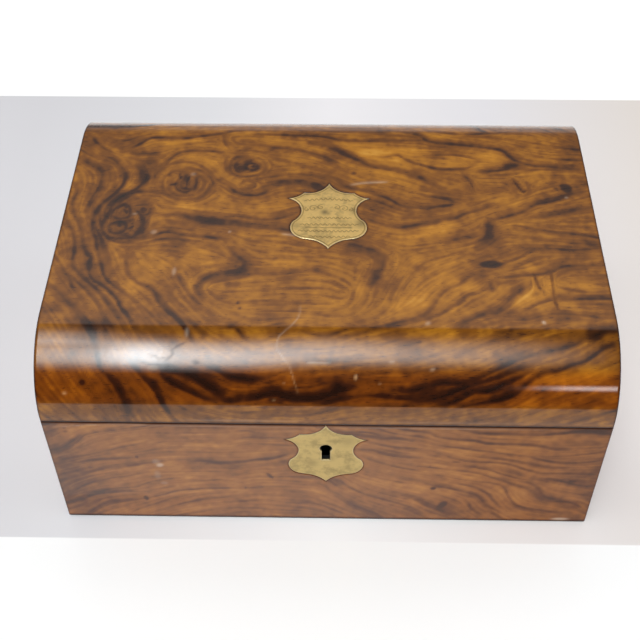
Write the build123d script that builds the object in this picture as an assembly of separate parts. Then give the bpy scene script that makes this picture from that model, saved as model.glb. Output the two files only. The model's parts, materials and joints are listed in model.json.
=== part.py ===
from build123d import *
from math import atan2, cos, radians, sin, tan
import os

# Dome-topped writing slope. X runs to the right along the lock side, Y runs away from
# it towards the hinges, Z is up, and the origin is the middle of the underside.
# Sizes are in millimetres.

# Outer sizes of the closed box
case_w = 305.0
case_d = 228.0
case_h = 135.0
lid_round_r = 41.0
lid_front_straight = 1.0
seam_gap = 0.5

# Boards, veneers and lippings
veneer_t = 1.0
wall_t = 11.0
bottom_t = 6.0
bottom_rebate = 5.0
baize_t = 1.0
baize_inset = 0.6
rim_t = 1.5
top_panel_t = 8.0
panel_tongue_t = 3.0
panel_tongue_l = 5.0
end_plate_t = 4.0
fit_gap = 0.15
play = 0.3

# Dovetails at the corners of the base
front_tails = 4
back_tails = 3
tail_share = 0.62
tail_angle = 9.0

# Main butt hinges
hinge_out = 0.25
hinge_inset = 60.5
hinge_len = 45.0
hinge_leaf_d = 9.0
hinge_leaf_t = 1.5
knuckle_r = 2.6
knuckle_count = 3
knuckle_end_gap = 0.2
hinge_pin_r = 1.0
pin_play = 0.05

# Shield-shaped brass plates and the keyhole
plate_t = 1.0
escutcheon_w = 45.0
escutcheon_h = 52.6
escutcheon_top_gap = 0.8
cartouche_w = 47.4
cartouche_h = 54.7
cartouche_y = 4.0
keyhole_r = 3.25
keyhole_up = 5.25
keyhole_slot_w = 4.5
keyhole_h = 10.65

# Box lock and its link plate
lock_w = 50.0
lock_under_keyhole = 4.0
lock_d = 8.5
lock_sheet = 1.0
selvedge_w = 60.0
selvedge_d = 9.0
selvedge_t = 1.5
staple_x = 10.0
staple_t = 2.0
staple_d = 4.2
staple_drop = 8.0
eye_d = 2.6
eye_h = 3.8
eye_drop = 5.0
slot_play = 0.6
bolt_throw = 5.0
bolt_short = 0.8
bolt_t = 2.0
bolt_lift = 1.6
bolt_bar_h = 6.0
tongue_root = 1.0
tongue_h = 3.0
bolt_arm_w = 3.0
drill_pin_r = 1.2
spring_t = 0.5
spring_w = 3.0
spring_rise = 1.6
guide_x = 8.0
guide_w = 4.0
guide_t = 1.5

# Writing flaps
leather_recess = 1.75
leather_t = 0.8
leather_border = 12.0
flap_t = 6.0
flap_gap = 0.5
back_rail_w = 12.0
back_rail_t = 10.0
ledge_w = 3.0
ledge_h = 5.0
front_ledge_w = 6.0
finger_notch_r = 9.0
butt_inset = 50.5
butt_len = 24.0
butt_leaf_d = 8.0
butt_leaf_t = 1.0
butt_knuckle_r = 1.25
butt_pin_r = 0.6

# Pen tray, inkwells and their partitions
well_d = 45.0
divider_t = 6.0
divider_rebate = 3.0
well_w = 42.0
partition_t = 5.0
tray_sink = 6.9
tray_h = 22.0
trough_w = 38.0
trough_depth = 16.0
trough_end = 2.5
bearer_w = 8.0
bearer_h = 5.0
tray_play = 0.3
block_h = 7.0
inkwell_w = 36.0
inkwell_h = 40.0
inkwell_corner = 3.0
inkwell_bevel = 2.5
ink_w = 26.0
ink_corner = 4.0
ink_floor = 6.0
ink_shoulder = 4.0
neck_r = 9.0
collar_w = 23.0
collar_h = 4.0
cap_w = 24.0
cap_h = 5.2
cap_corner = 2.5
cap_bevel = 2.2
cap_seat_gap = 0.25
cap_hinge_back = 1.8
cap_lug = 1.2
cap_tab_w = 3.8
cap_lug_w = 2.2
cap_pin_r = 0.6
cap_tab_t = 1.7

# What follows from them
half_w = case_w / 2
half_d = case_d / 2
core_x = half_w - veneer_t
core_y = half_d - veneer_t
inner_x = core_x - wall_t
inner_y = core_y - wall_t
floor_z = baize_t + bottom_t
hinge_x = half_w - hinge_inset
hinge_y = half_d + hinge_out
hinge_z = case_h / 2
front_seam_z = case_h - lid_round_r - lid_front_straight
slope_rise = (front_seam_z - hinge_z) / (hinge_y + half_d)
slope_angle = atan2(front_seam_z - hinge_z, hinge_y + half_d)
rim_w = seam_gap / 2
core_w = rim_w + rim_t
plate_w = rim_w + selvedge_t
leather_w = leather_recess
flap_axis_v = (inner_y - back_rail_w - hinge_y) / cos(slope_angle)
flap_low_w = leather_w + flap_t
ledge_top_w = flap_low_w + play
reach = case_w + case_d + case_h
butt_x = inner_x - butt_inset
divider_y = -inner_y + well_d
escutcheon_z = front_seam_z - escutcheon_top_gap - escutcheon_h / 2
keyhole_z = escutcheon_z + keyhole_up
lock_foot_z = keyhole_z - keyhole_h - lock_under_keyhole
tongue_l = bolt_throw + tongue_root
slope = Plane(
    origin=(0, hinge_y, hinge_z),
    x_dir=(1, 0, 0),
    z_dir=(0, sin(slope_angle), cos(slope_angle)),
)


def block(x0, x1, y0, y1, z0, z1):
    """A box between two corners."""
    centre = Pos((x0 + x1) / 2, (y0 + y1) / 2, (z0 + z1) / 2)
    return centre * Box(x1 - x0, y1 - y0, z1 - z0)


def on_slope(shape):
    """Takes x, v, w on the seam plane, with v back from the hinge axis and w up, to the box."""
    return slope.location * shape


def slab(low, high):
    """Everything between two levels measured square to the seam plane."""
    return on_slope(block(-reach, reach, -reach, reach, low, high))


def below(level):
    """Everything under a level measured square to the seam plane."""
    return slab(-reach, level)


def above(level):
    """Everything over a level measured square to the seam plane."""
    return slab(level, reach)


def slope_z(y, level=0.0):
    """Height at y of a level measured square to the seam plane."""
    return hinge_z + (hinge_y - y) * slope_rise + level / cos(slope_angle)


def slope_v(y, level=0.0):
    """Place along the seam plane of the upright plane at y, met at a level."""
    return (y - hinge_y - level * sin(slope_angle)) / cos(slope_angle)


def along_x(radius, x0, x1, y=0.0, z=0.0):
    """A round bar along X."""
    bar = Cylinder(radius, x1 - x0)
    return Pos((x0 + x1) / 2, y, z) * Rot(0, 90, 0) * bar


def pair(shape):
    """A shape and its mirror image left and right."""
    return [shape, mirror(shape, Plane.YZ)]


def both(shape):
    """The same pair as one shape."""
    return shape + mirror(shape, Plane.YZ)


def fused(shapes):
    """The sum of a list of shapes."""
    total = shapes[0]
    for shape in shapes[1:]:
        total = total + shape
    return total


def to_front(face, y0, y1):
    """Pushes a face drawn in x and z from y1 out to y0."""
    return extrude(Plane.XZ.offset(-y1) * face, amount=y1 - y0)


def lid_prism(inset, x0, x1):
    """The dome section, set in from the show faces, from x0 to x1, down past the seam."""
    top = case_h - inset
    low = hinge_z - wall_t
    rectangle = Pos(0, (low + top) / 2) * Rectangle(2 * (half_d - inset), top - low)
    corners = rectangle.vertices().group_by(Axis.Y)[-1]
    section = fillet(corners, lid_round_r - inset)
    return extrude(Plane.YZ.offset(x0) * section, amount=x1 - x0)


def shield(width, height):
    """A shield with a cusp at its head and foot, horned shoulders and a nipped waist."""

    def at(across, up):
        return (across * width / 2, (up - 0.5) * height)

    notch = at(0.62, 0.845)
    horn = at(1.0, 0.757)
    hip = at(0.85, 0.41)
    lobe_end = at(0.62, 0.146)
    toe = at(0.37, 0.124)
    half = (
        ThreePointArc(at(0, 1), at(0.26, 0.870), notch)
        + ThreePointArc(notch, at(0.80, 0.782), horn)
        + ThreePointArc(horn, at(0.67, 0.580), hip)
        + ThreePointArc(hip, at(0.91, 0.270), lobe_end)
        + Line(lobe_end, toe)
        + ThreePointArc(toe, at(0.175, 0.078), at(0, 0))
    )
    return make_face(half + mirror(half, Plane.YZ))


def keyhole(grow=0.0):
    """The keyhole, drawn in x and z."""
    head = Pos(0, keyhole_z) * Circle(keyhole_r + grow)
    slot_h = keyhole_h + grow
    slot = Pos(0, keyhole_z - slot_h / 2) * Rectangle(keyhole_slot_w + 2 * grow, slot_h)
    return head + slot


def save(name, shape):
    """Writes one named piece."""
    solids = []
    for item in shape if isinstance(shape, list) else [shape]:
        solids += item.solids()
    piece = solids[0] if len(solids) == 1 else Compound(children=solids)
    export_step(piece, "parts/" + name + ".step")


# Main hinges


def barrel_spans(side, size, grow=0.0):
    """Square-cornered rooms round every second barrel of a hinge, side 0 or 1."""
    pitch = hinge_len / knuckle_count
    spans = []
    for k in range(side, knuckle_count, 2):
        x0 = -hinge_len / 2 + k * pitch + knuckle_end_gap / 2 - grow
        x1 = -hinge_len / 2 + (k + 1) * pitch - knuckle_end_gap / 2 + grow
        spans.append(block(x0, x1, -size, size, -size, size))
    return fused(spans)


def hinge_leaf(side, up):
    """One leaf about the x axis, over or under the seam plane: side 0 has the riveted pin."""
    low = rim_w if up > 0 else -rim_w - hinge_leaf_t
    plate = block(-hinge_len / 2, hinge_len / 2, -hinge_leaf_d, 0, low, low + hinge_leaf_t)
    size = knuckle_r + knuckle_end_gap
    half = hinge_len / 2
    plate = plate - barrel_spans(1 - side, size, knuckle_end_gap)
    leaf = plate + (along_x(knuckle_r, -half, half) & barrel_spans(side, size))
    if side == 0:
        return leaf + along_x(hinge_pin_r, -half, half)
    return leaf - along_x(hinge_pin_r + pin_play, -half, half)


def hinge_bed(up):
    """What one hinge takes out of the wood and the veneer on its side."""
    gap = fit_gap
    low = rim_w - gap if up > 0 else -rim_w - hinge_leaf_t
    high = rim_w + hinge_leaf_t if up > 0 else -rim_w + gap
    half = hinge_len / 2 + gap
    bed = block(-half, half, -hinge_leaf_d - gap, knuckle_r, low, high)
    room = along_x(knuckle_r + play, -half, half)
    return bed + room


def at_hinges(make):
    """Both hinges' copies of a shape drawn about the hinge axis."""
    return pair(on_slope(Pos(hinge_x, 0, 0) * make))


# Base carcass


def tails(end_sign, count):
    """Side view of the tails at one end of a side board, widest at the end grain."""
    shoulder = end_sign * inner_y
    end = end_sign * core_y
    top = slope_z(inner_y if end_sign > 0 else -inner_y, -core_w)
    pitch = (top - baize_t) / count
    wide = pitch * tail_share / 2
    narrow = wide - wall_t * tan(radians(tail_angle))
    shapes = []
    for k in range(count):
        mid = baize_t + pitch * (k + 0.5)
        outline = Polyline(
            (shoulder, mid - narrow),
            (end, mid - wide),
            (end, mid + wide),
            (shoulder, mid + narrow),
            close=True,
        )
        shapes.append(extrude(Plane.YZ.offset(inner_x) * make_face(outline), amount=wall_t))
    return shapes


def base_bottom():
    """The bottom board, let into the rebate round the walls."""
    x = inner_x + bottom_rebate
    y = inner_y + bottom_rebate
    return block(-x, x, -y, y, baize_t, floor_z)


def side_wall():
    """The right-hand wall with its tails."""
    board = block(inner_x, core_x, -inner_y, inner_y, baize_t, case_h)
    board = board + fused(tails(-1, front_tails)) + fused(tails(1, back_tails))
    return board - above(-core_w) - base_bottom()


def cross_wall(end_sign, count):
    """The lock-side or hinge-side wall with sockets for the tails."""
    near = min(end_sign * inner_y, end_sign * core_y)
    board = block(-core_x, core_x, near, near + wall_t, baize_t, case_h)
    board = board - above(-core_w) - base_bottom()
    for tail in tails(end_sign, count):
        board = board - both(tail)
    return board


def lipping(low, high):
    """Four mitred strips round the top of the walls, cut to the seam plane."""
    outer = [(-core_x, -core_y), (core_x, -core_y), (core_x, core_y), (-core_x, core_y)]
    inner = [(-inner_x, -inner_y), (inner_x, -inner_y), (inner_x, inner_y), (-inner_x, inner_y)]
    layer = slab(low, high)
    strips = []
    for k in range(4):
        after = (k + 1) % 4
        outline = Polyline(outer[k], outer[after], inner[after], inner[k], close=True)
        strips.append(extrude(make_face(outline), amount=case_h) & layer)
    return strips


def baize():
    """The cloth under the box."""
    x = half_w - baize_inset
    y = half_d - baize_inset
    return block(-x, x, -y, y, 0, baize_t)


# Lock

case_back_y = -inner_y
case_front_y = -inner_y - lock_d
selvedge_front_y = -inner_y - selvedge_d
staple_y = case_back_y - lock_sheet - slot_play - staple_d / 2
bolt_y = staple_y - eye_drop * sin(slope_angle)
eye_z = slope_z(staple_y) - eye_drop * cos(slope_angle)
bolt_low_z = keyhole_z + keyhole_r + bolt_lift


def lock_plate(up, grow=0.0):
    """The lock's top plate or the link plate, flush with its rim, or its bed."""
    x = selvedge_w / 2 + grow
    plate = block(-x, x, selvedge_front_y - grow, case_back_y, 0, case_h)
    near, far = up * (rim_w - 2 * grow), up * plate_w
    return plate & slab(min(near, far), max(near, far))


def staple(grow=0.0):
    """One staple riveted in the link plate, at x = 0 on the seam plane, or its slot."""
    v = slope_v(staple_y)
    half = staple_d / 2 + grow
    x = staple_t / 2 + grow
    body = block(-x, x, v - half, v + half, -staple_drop, plate_w)
    if grow:
        return body
    eye = Pos(0, v, -eye_drop) * Box(2 * staple_t, eye_d, eye_h)
    return body - eye


def lock_box(grow=0.0):
    """The outside of the lock's case, up to its top plate."""
    x = lock_w / 2 + grow
    box = block(-x, x, case_front_y - grow, case_back_y, lock_foot_z - grow, case_h)
    return box - above(-plate_w)


def lock_case():
    """Case, top plate with staple slots, keyhole, and two ledges that carry the bolt."""
    x = lock_w / 2 - lock_sheet
    front = case_front_y + lock_sheet
    hollow = block(-x, x, front, case_back_y, lock_foot_z + lock_sheet, case_h)
    shell = lock_box() - (hollow - above(-plate_w)) + lock_plate(-1)
    for place in (-staple_x, staple_x):
        shell = shell - on_slope(Pos(place, 0, 0) * staple(slot_play))
    shell = shell - to_front(keyhole(), case_front_y - 1, front + lock_sheet)
    top = bolt_low_z - play
    guide = block(guide_x, guide_x + guide_w, front, bolt_y + bolt_t / 2, top - guide_t, top)
    return shell + both(guide)


def lock_cap():
    """The plate that closes the case on the inner side."""
    x = lock_w / 2 - lock_sheet - fit_gap
    low = lock_foot_z + lock_sheet + fit_gap
    plate = block(-x, x, case_back_y - lock_sheet, case_back_y, low, case_h)
    plate = plate - above(-plate_w - fit_gap)
    hole = Rot(90, 0, 0) * Cylinder(drill_pin_r + fit_gap, 4 * lock_sheet)
    return plate - Pos(0, case_back_y, keyhole_z) * hole


def drill_pin():
    """The pin that a pipe key turns on, riveted in the cap."""
    start = case_front_y + lock_sheet + play
    length = case_back_y - start
    return Pos(0, start + length / 2, keyhole_z) * Rot(90, 0, 0) * Cylinder(drill_pin_r, length)


def lock_bolt():
    """A bar with two hooked tongues that pass through the staples' eyes."""
    y0 = bolt_y - bolt_t / 2
    y1 = bolt_y + bolt_t / 2
    short = staple_t / 2 + bolt_short
    left = -staple_x - short - tongue_l - bolt_arm_w
    right = staple_x + staple_t
    bar = block(left, right, y0, y1, bolt_low_z, bolt_low_z + bolt_bar_h)
    talon = Rot(90, 0, 0) * Cylinder(keyhole_r / 2, 2 * bolt_t)
    bar = bar - Pos(0, bolt_y, bolt_low_z) * talon
    for place in (-staple_x, staple_x):
        end = place - short
        arm_x = end - tongue_l - bolt_arm_w
        arm = block(arm_x, arm_x + bolt_arm_w, y0, y1, bolt_low_z, eye_z + tongue_h / 2)
        tongue_low = eye_z - tongue_h / 2
        bar = bar + arm + block(arm_x, end, y0, y1, tongue_low, tongue_low + tongue_h)
    return bar


def bolt_spring():
    """A bowed strip spring from the case's side that presses on the bolt's bar."""
    right = lock_w / 2 - lock_sheet
    left = guide_x
    span = right - left
    low = bolt_low_z + bolt_bar_h + play
    radius = (span * span / 4 + spring_rise * spring_rise) / (2 * spring_rise)
    ring = Circle(radius) - Circle(radius - spring_t)
    ring = Pos((left + right) / 2, low + radius) * ring
    strip = to_front(ring, bolt_y - spring_w / 2, bolt_y + spring_w / 2)
    return strip & block(left, right, -reach, 0, low - 1, low + 2 * spring_rise)


# Flaps and their small butt hinges


def butt(side, base):
    """The leaves of one small butt: side 0 is screwed to the rail, side 1 to the flap."""
    face = -leather_w if base else leather_w
    inward = -1 if base else 1
    half = butt_len / 2
    third = butt_len / 6
    r = butt_knuckle_r
    gap = knuckle_end_gap
    low, high = sorted((face, face + inward * butt_leaf_t))
    v0, v1 = (0, butt_leaf_d) if side == 0 else (-butt_leaf_d, 0)
    plate = block(-half, half, v0, v1, low, high)
    middle = block(-third, third, -r - gap, r + gap, face - r - gap, face + r + gap)
    ends = block(-half, half, -r - gap, r + gap, face - r - gap, face + r + gap)
    outside = ends - block(-third - gap, third + gap, -reach, reach, -reach, reach)
    if side == 0:
        bars = along_x(r, -half, half, 0, face) & outside
        pin = along_x(butt_pin_r, -half, half, 0, face)
        return plate - (ends - outside) + bars + pin
    side_room = ends - middle
    bars = along_x(r, -third, third, 0, face)
    return plate - side_room + bars - along_x(butt_pin_r + pin_play, -half, half, 0, face)


def butt_bed(base):
    """What one small butt takes out of the rail and the flap."""
    face = -leather_w if base else leather_w
    inward = -1 if base else 1
    half = butt_len / 2 + fit_gap
    low, high = sorted((face - inward, face + inward * butt_leaf_t))
    bed = block(-half, half, -butt_leaf_d - fit_gap, butt_leaf_d + fit_gap, low, high)
    return bed + along_x(butt_knuckle_r + play, -half, half, 0, face)


def at_butts(make):
    """Both small butts' copies of a shape drawn about the flap's hinge line."""
    return pair(on_slope(Pos(butt_x, flap_axis_v, 0) * make))


def layer(x, v0, v1, base, w0, w1):
    """A slab inside the box on the seam plane's coordinates, under it or over it."""
    low, high = sorted((-w0, -w1)) if base else (w0, w1)
    return on_slope(block(-x, x, v0, v1, low, high))


def back_rail(base):
    """The strip inside the hinge-side wall that carries a flap's hinges."""
    strip = layer(inner_x, flap_axis_v, 0, base, leather_w, leather_w + back_rail_t)
    strip = strip & block(-inner_x, inner_x, -inner_y, inner_y, -case_h, 2 * case_h)
    return strip - fused(at_butts(butt_bed(base)))


base_flap_v = slope_v(divider_y + divider_rebate, -leather_w) + flap_gap
lid_flap_v = slope_v(-inner_y, leather_w) + flap_gap


def flap_board(base):
    """A hinged writing board with a leather bed and a finger notch."""
    v0 = base_flap_v if base else lid_flap_v
    x = inner_x - flap_gap
    board = layer(x, v0, flap_axis_v - play, base, leather_w, flap_low_w)
    bed = layer(
        x - leather_border,
        v0 + leather_border,
        flap_axis_v - play - leather_border,
        base,
        leather_w - 1,
        leather_w + leather_t,
    )
    notch = on_slope(Pos(0, v0, 0) * Cylinder(finger_notch_r, 4 * flap_low_w))
    return board - bed - notch - fused(at_butts(butt_bed(base)))


def flap_leather(base):
    """The tooled skiver laid in the board's bed."""
    v0 = base_flap_v if base else lid_flap_v
    x = inner_x - flap_gap - leather_border - fit_gap
    return layer(
        x,
        v0 + leather_border + fit_gap,
        flap_axis_v - play - leather_border - fit_gap,
        base,
        leather_w,
        leather_w + leather_t,
    )


def side_ledges(base):
    """Strips on the side walls that the flap shuts on."""
    v0 = slope_v(divider_y + divider_t, -ledge_top_w) if base else slope_v(-inner_y, ledge_top_w)
    v1 = flap_axis_v
    strip = layer(inner_x, v0, v1, base, ledge_top_w, ledge_top_w + ledge_h)
    front = divider_y + divider_t if base else -inner_y
    strip = strip & block(inner_x - ledge_w, inner_x, front, inner_y, -case_h, 2 * case_h)
    if not base:
        strip = strip & lid_prism(veneer_t + wall_t, inner_x - ledge_w, inner_x)
    return pair(strip)


def front_ledge():
    """The strip on the lid's front that its flap shuts on."""
    strip = slab(ledge_top_w, ledge_top_w + ledge_h)
    x = inner_x - ledge_w
    strip = strip & block(-x, x, -inner_y, -inner_y + front_ledge_w, 0, case_h)
    return strip & lid_prism(veneer_t + wall_t, -x, x)


# Inside the base

tray_top_z = slope_z(divider_y, -leather_w) - tray_sink
well_x = inner_x - well_w
tray_x = well_x - partition_t
inkwell_x = inner_x - well_w / 2
inkwell_y = -inner_y + well_d / 2
glass_z = floor_z + block_h
collar_z = glass_z + inkwell_h
cap_z = collar_z + collar_h + cap_seat_gap
cap_axis_y = inkwell_y + cap_w / 2 + cap_hinge_back
cap_axis_z = collar_z + collar_h


def divider():
    """The board between the pen wells and the paper store, rebated for the flap."""
    board = block(-inner_x, inner_x, divider_y, divider_y + divider_t, floor_z, case_h)
    rebate_v = slope_v(divider_y + divider_rebate, -leather_w)
    rebate = on_slope(block(-reach, reach, rebate_v, reach, -ledge_top_w, reach))
    return board - above(-leather_w) - rebate


def partition():
    """The board between the pen tray and the right-hand inkwell."""
    board = block(tray_x, well_x, -inner_y, divider_y, floor_z, case_h)
    return board - above(-leather_w)


def pen_tray():
    """A lift-out tray with a coved trough."""
    x = tray_x - tray_play
    y0 = -inner_y + tray_play
    y1 = divider_y - tray_play
    body = block(-x, x, y0, y1, tray_top_z - tray_h, tray_top_z)
    r = (trough_w * trough_w / 4 + trough_depth * trough_depth) / (2 * trough_depth)
    end = x - trough_end
    return body - along_x(r, -end, end, inkwell_y, tray_top_z + r - trough_depth)


def bearer():
    """The right-hand strip that the tray rests on."""
    top = tray_top_z - tray_h
    return block(tray_x - bearer_w, tray_x, -inner_y, divider_y, top - bearer_h, top)


def well_block():
    """The packing under the right-hand inkwell."""
    return block(well_x + play, inner_x, -inner_y, divider_y, floor_z, glass_z)


def cut_square(width, height, low, corner, bevel=0.0):
    """A square post with cut corners over the inkwell's centre, bevelled round its top."""
    post = Pos(0, inkwell_y, low + height / 2) * Box(width, width, height)
    post = chamfer(post.edges().filter_by(Axis.Z), corner)
    return chamfer(post.faces().sort_by(Axis.Z)[-1].edges(), bevel) if bevel else post


def inkwell():
    """A square glass bottle with cut corners and a round neck, centred on x = 0."""
    glass = cut_square(inkwell_w, inkwell_h, glass_z, inkwell_corner, inkwell_bevel)
    store_h = inkwell_h - ink_floor - ink_shoulder
    store = cut_square(ink_w, store_h, glass_z + ink_floor, ink_corner)
    neck = Pos(0, inkwell_y, collar_z - ink_shoulder / 2) * Cylinder(neck_r, 2 * ink_shoulder)
    return glass - store - neck


def cap_axle(radius, x0, x1):
    """A bar on the cap's hinge line."""
    return along_x(radius, x0, x1, cap_axis_y, cap_axis_z)


def lug(x0, x1, start_y, low, high):
    """A hinge lug from start_y to the cap's hinge line, squared off round the pin."""
    arm = block(x0, x1, start_y, cap_axis_y + cap_lug, low, high)
    low, high = min(low, cap_axis_z - cap_lug), max(high, cap_axis_z + cap_lug)
    return arm + block(x0, x1, cap_axis_y - cap_lug, cap_axis_y + cap_lug, low, high)


def collar():
    """The brass mount on the bottle, with the cap's two lugs and pin, centred on x = 0."""
    ring = cut_square(collar_w, collar_h, collar_z, cap_corner)
    ring = ring - Pos(0, inkwell_y, collar_z) * Cylinder(neck_r, 4 * collar_h)
    inner = cap_tab_w / 2 + knuckle_end_gap
    outer = inner + cap_lug_w
    start_y = inkwell_y + collar_w / 2 - cap_tab_t
    ear = lug(inner, outer, start_y, cap_axis_z - cap_tab_t, cap_axis_z)
    return ring + both(ear) + cap_axle(cap_pin_r, -outer, outer)


def cap():
    """The bevelled cap with its hinge tab, centred on x = 0."""
    half = cap_tab_w / 2
    tab = lug(-half, half, inkwell_y + cap_w / 2 - cap_tab_t, cap_z, cap_z + cap_tab_t)
    lid = cut_square(cap_w, cap_h, cap_z, cap_corner, cap_bevel) + tab
    return lid - cap_axle(cap_pin_r + pin_play, -half, half)


# Lid carcass

rail_y = half_d - lid_round_r
rail_x = core_x - end_plate_t
panel_z = case_h - veneer_t - top_panel_t


def coved_rail():
    """The quarter-round rail at the lock side, coved inside and grooved for the top panel."""
    inset = veneer_t + wall_t
    shell = lid_prism(veneer_t, -rail_x, rail_x) - lid_prism(inset, -2 * rail_x, 2 * rail_x)
    shell = shell & block(-rail_x, rail_x, -half_d, -rail_y, 0, case_h)
    return shell - tongue(fit_gap)


def tongue(grow=0.0):
    """The tongue along the top panel's lock-side edge, or its groove."""
    mid = case_h - veneer_t - top_panel_t / 2
    half = panel_tongue_t / 2 + grow
    length = panel_tongue_l + grow
    return block(-rail_x, rail_x, -rail_y - length, -rail_y, mid - half, mid + half)


def top_panel():
    """The flat board of the lid with its two tongues."""
    board = block(-rail_x, rail_x, -rail_y, rail_y, panel_z, case_h - veneer_t)
    return board + tongue() + mirror(tongue(), Plane.XZ)


def lid_end():
    """The right-hand domed end, rebated so that the rails and panel lap over it."""
    plate = lid_prism(veneer_t, rail_x, core_x)
    plug = lid_prism(veneer_t + wall_t, inner_x, rail_x)
    plug = plug + block(inner_x, rail_x, -rail_y, rail_y, hinge_z, panel_z)
    return plate + plug - below(core_w)


def lid_skin():
    """The show veneer bent over the lid from seam to seam."""
    skin = lid_prism(0, -half_w, half_w) - lid_prism(veneer_t, -reach, reach)
    return skin - below(rim_w)


def lid_end_skin():
    """The veneer on the right-hand end of the lid."""
    return lid_prism(veneer_t, core_x, half_w) - below(rim_w)


# Brass plates


def escutcheon_shape(grow=0.0):
    """The keyhole plate's outline, drawn in x and z."""
    outline = shield(escutcheon_w, escutcheon_h)
    return Pos(0, escutcheon_z) * (offset(outline, amount=grow) if grow else outline)


def cartouche_slab(grow=0.0):
    """The lid plate, or its bed."""
    outline = shield(cartouche_w, cartouche_h)
    if grow:
        outline = offset(outline, amount=grow)
    place = Pos(0, cartouche_y, case_h - plate_t)
    return place * extrude(outline, amount=plate_t + 2 * grow)


os.makedirs("parts", exist_ok=True)

# The base: boards, lippings and veneers
key_way = to_front(keyhole(), -half_d - plate_t, case_front_y + lock_sheet)
escutcheon_bed = to_front(escutcheon_shape(fit_gap), -half_d - plate_t, -half_d + plate_t)
base_beds = fused(at_hinges(hinge_bed(-1)))
lock_bed = lock_box(fit_gap) + lock_plate(-1, fit_gap)
save("base_front_wall", cross_wall(-1, front_tails) - lock_bed - key_way - escutcheon_bed)
save("base_back_wall", cross_wall(1, back_tails) - base_beds)
save("base_right_wall", side_wall())
save("base_left_wall", mirror(side_wall(), Plane.YZ))
save("base_bottom", base_bottom())
save("base_baize", baize())
base_strips = lipping(-core_w, -rim_w)
save("base_rim", [strip - base_beds - lock_bed - escutcheon_bed for strip in base_strips])
front_skin = block(-half_w, half_w, -half_d, -core_y, baize_t, case_h) - above(-rim_w)
back_skin = block(-half_w, half_w, core_y, half_d, baize_t, case_h) - above(-rim_w)
side_skin = block(core_x, half_w, -core_y, core_y, baize_t, case_h) - above(-rim_w)
save("base_front_veneer", front_skin - escutcheon_bed)
save("base_back_veneer", back_skin - base_beds)
save("base_right_veneer", side_skin)
save("base_left_veneer", mirror(side_skin, Plane.YZ))

# The lid: coved rails, top panel, domed ends and veneers
lid_beds = fused(at_hinges(hinge_bed(1)))
link_bed = lock_plate(1, fit_gap)
save("lid_front_rail", coved_rail() - below(core_w) - link_bed)
save("lid_back_rail", mirror(coved_rail(), Plane.XZ) - below(core_w) - lid_beds)
save("lid_top_panel", top_panel() - cartouche_slab(fit_gap))
save("lid_right_end", lid_end())
save("lid_left_end", mirror(lid_end(), Plane.YZ))
save("lid_veneer", lid_skin() - cartouche_slab(fit_gap) - lid_beds)
save("lid_right_end_veneer", lid_end_skin())
save("lid_left_end_veneer", mirror(lid_end_skin(), Plane.YZ))
lid_core = lid_prism(veneer_t, -core_x, core_x)
lid_strips = [strip & lid_core for strip in lipping(rim_w, core_w)]
save("lid_rim", [strip - lid_beds - link_bed for strip in lid_strips])

# Brass plates, lock and hinges
save("escutcheon", to_front(escutcheon_shape() - keyhole(), -half_d, -half_d + plate_t))
save("cartouche", cartouche_slab())
save("lock_case", lock_case())
save("lock_cap", lock_cap())
save("lock_bolt", lock_bolt())
save("lock_bolt_spring", bolt_spring())
save("lock_drill_pin", drill_pin())
staples = pair(on_slope(Pos(staple_x, 0, 0) * staple()))
save("link_plate", lock_plate(1) - fused(staples))
save("lock_staples", staples)
for k, side in enumerate(("right", "left")):
    save(side + "_hinge_base_leaf", at_hinges(hinge_leaf(0, -1))[k])
    save(side + "_hinge_lid_leaf", at_hinges(hinge_leaf(1, 1))[k])

# The two writing flaps
for name, base in (("base", True), ("lid", False)):
    save(name + "_back_rail_strip", back_rail(base))
    save(name + "_flap_ledges", side_ledges(base) + ([] if base else [front_ledge()]))
    save(name + "_flap_board", flap_board(base))
    save(name + "_flap_leather", flap_leather(base))
    save(name + "_flap_butts_fixed", at_butts(butt(0, base)))
    save(name + "_flap_butts_moving", at_butts(butt(1, base)))

# Pen tray, inkwells and partitions
save("well_divider", divider())
save("well_partitions", pair(partition()))
save("pen_tray", pen_tray())
save("pen_tray_bearers", pair(bearer()))
save("inkwell_blocks", pair(well_block()))
for side, place in (("right", inkwell_x), ("left", -inkwell_x)):
    save(side + "_inkwell", Pos(place, 0, 0) * inkwell())
    save(side + "_inkwell_collar", Pos(place, 0, 0) * collar())
    save(side + "_inkwell_cap", Pos(place, 0, 0) * cap())
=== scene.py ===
import json
from math import cos, hypot, pi, radians, sin

import bmesh
import bpy
import numpy as np
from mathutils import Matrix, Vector
from mathutils.geometry import delaunay_2d_cdt


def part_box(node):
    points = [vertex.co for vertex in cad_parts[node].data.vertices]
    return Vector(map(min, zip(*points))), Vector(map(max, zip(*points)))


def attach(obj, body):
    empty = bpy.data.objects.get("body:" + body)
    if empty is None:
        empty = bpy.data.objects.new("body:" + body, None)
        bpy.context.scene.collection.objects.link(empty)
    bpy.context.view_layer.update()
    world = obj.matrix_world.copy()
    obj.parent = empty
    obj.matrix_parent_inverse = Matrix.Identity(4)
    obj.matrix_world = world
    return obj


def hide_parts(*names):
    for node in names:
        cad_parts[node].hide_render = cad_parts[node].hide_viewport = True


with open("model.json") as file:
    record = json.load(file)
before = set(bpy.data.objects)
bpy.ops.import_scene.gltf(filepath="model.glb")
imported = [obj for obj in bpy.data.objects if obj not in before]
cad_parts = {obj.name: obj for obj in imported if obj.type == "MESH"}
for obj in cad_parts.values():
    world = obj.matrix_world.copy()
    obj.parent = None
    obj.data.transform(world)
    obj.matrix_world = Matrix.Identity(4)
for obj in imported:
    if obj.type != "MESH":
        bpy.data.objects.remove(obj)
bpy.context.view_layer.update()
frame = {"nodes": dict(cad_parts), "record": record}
nodes = frame["nodes"]
MM = 0.001

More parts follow.
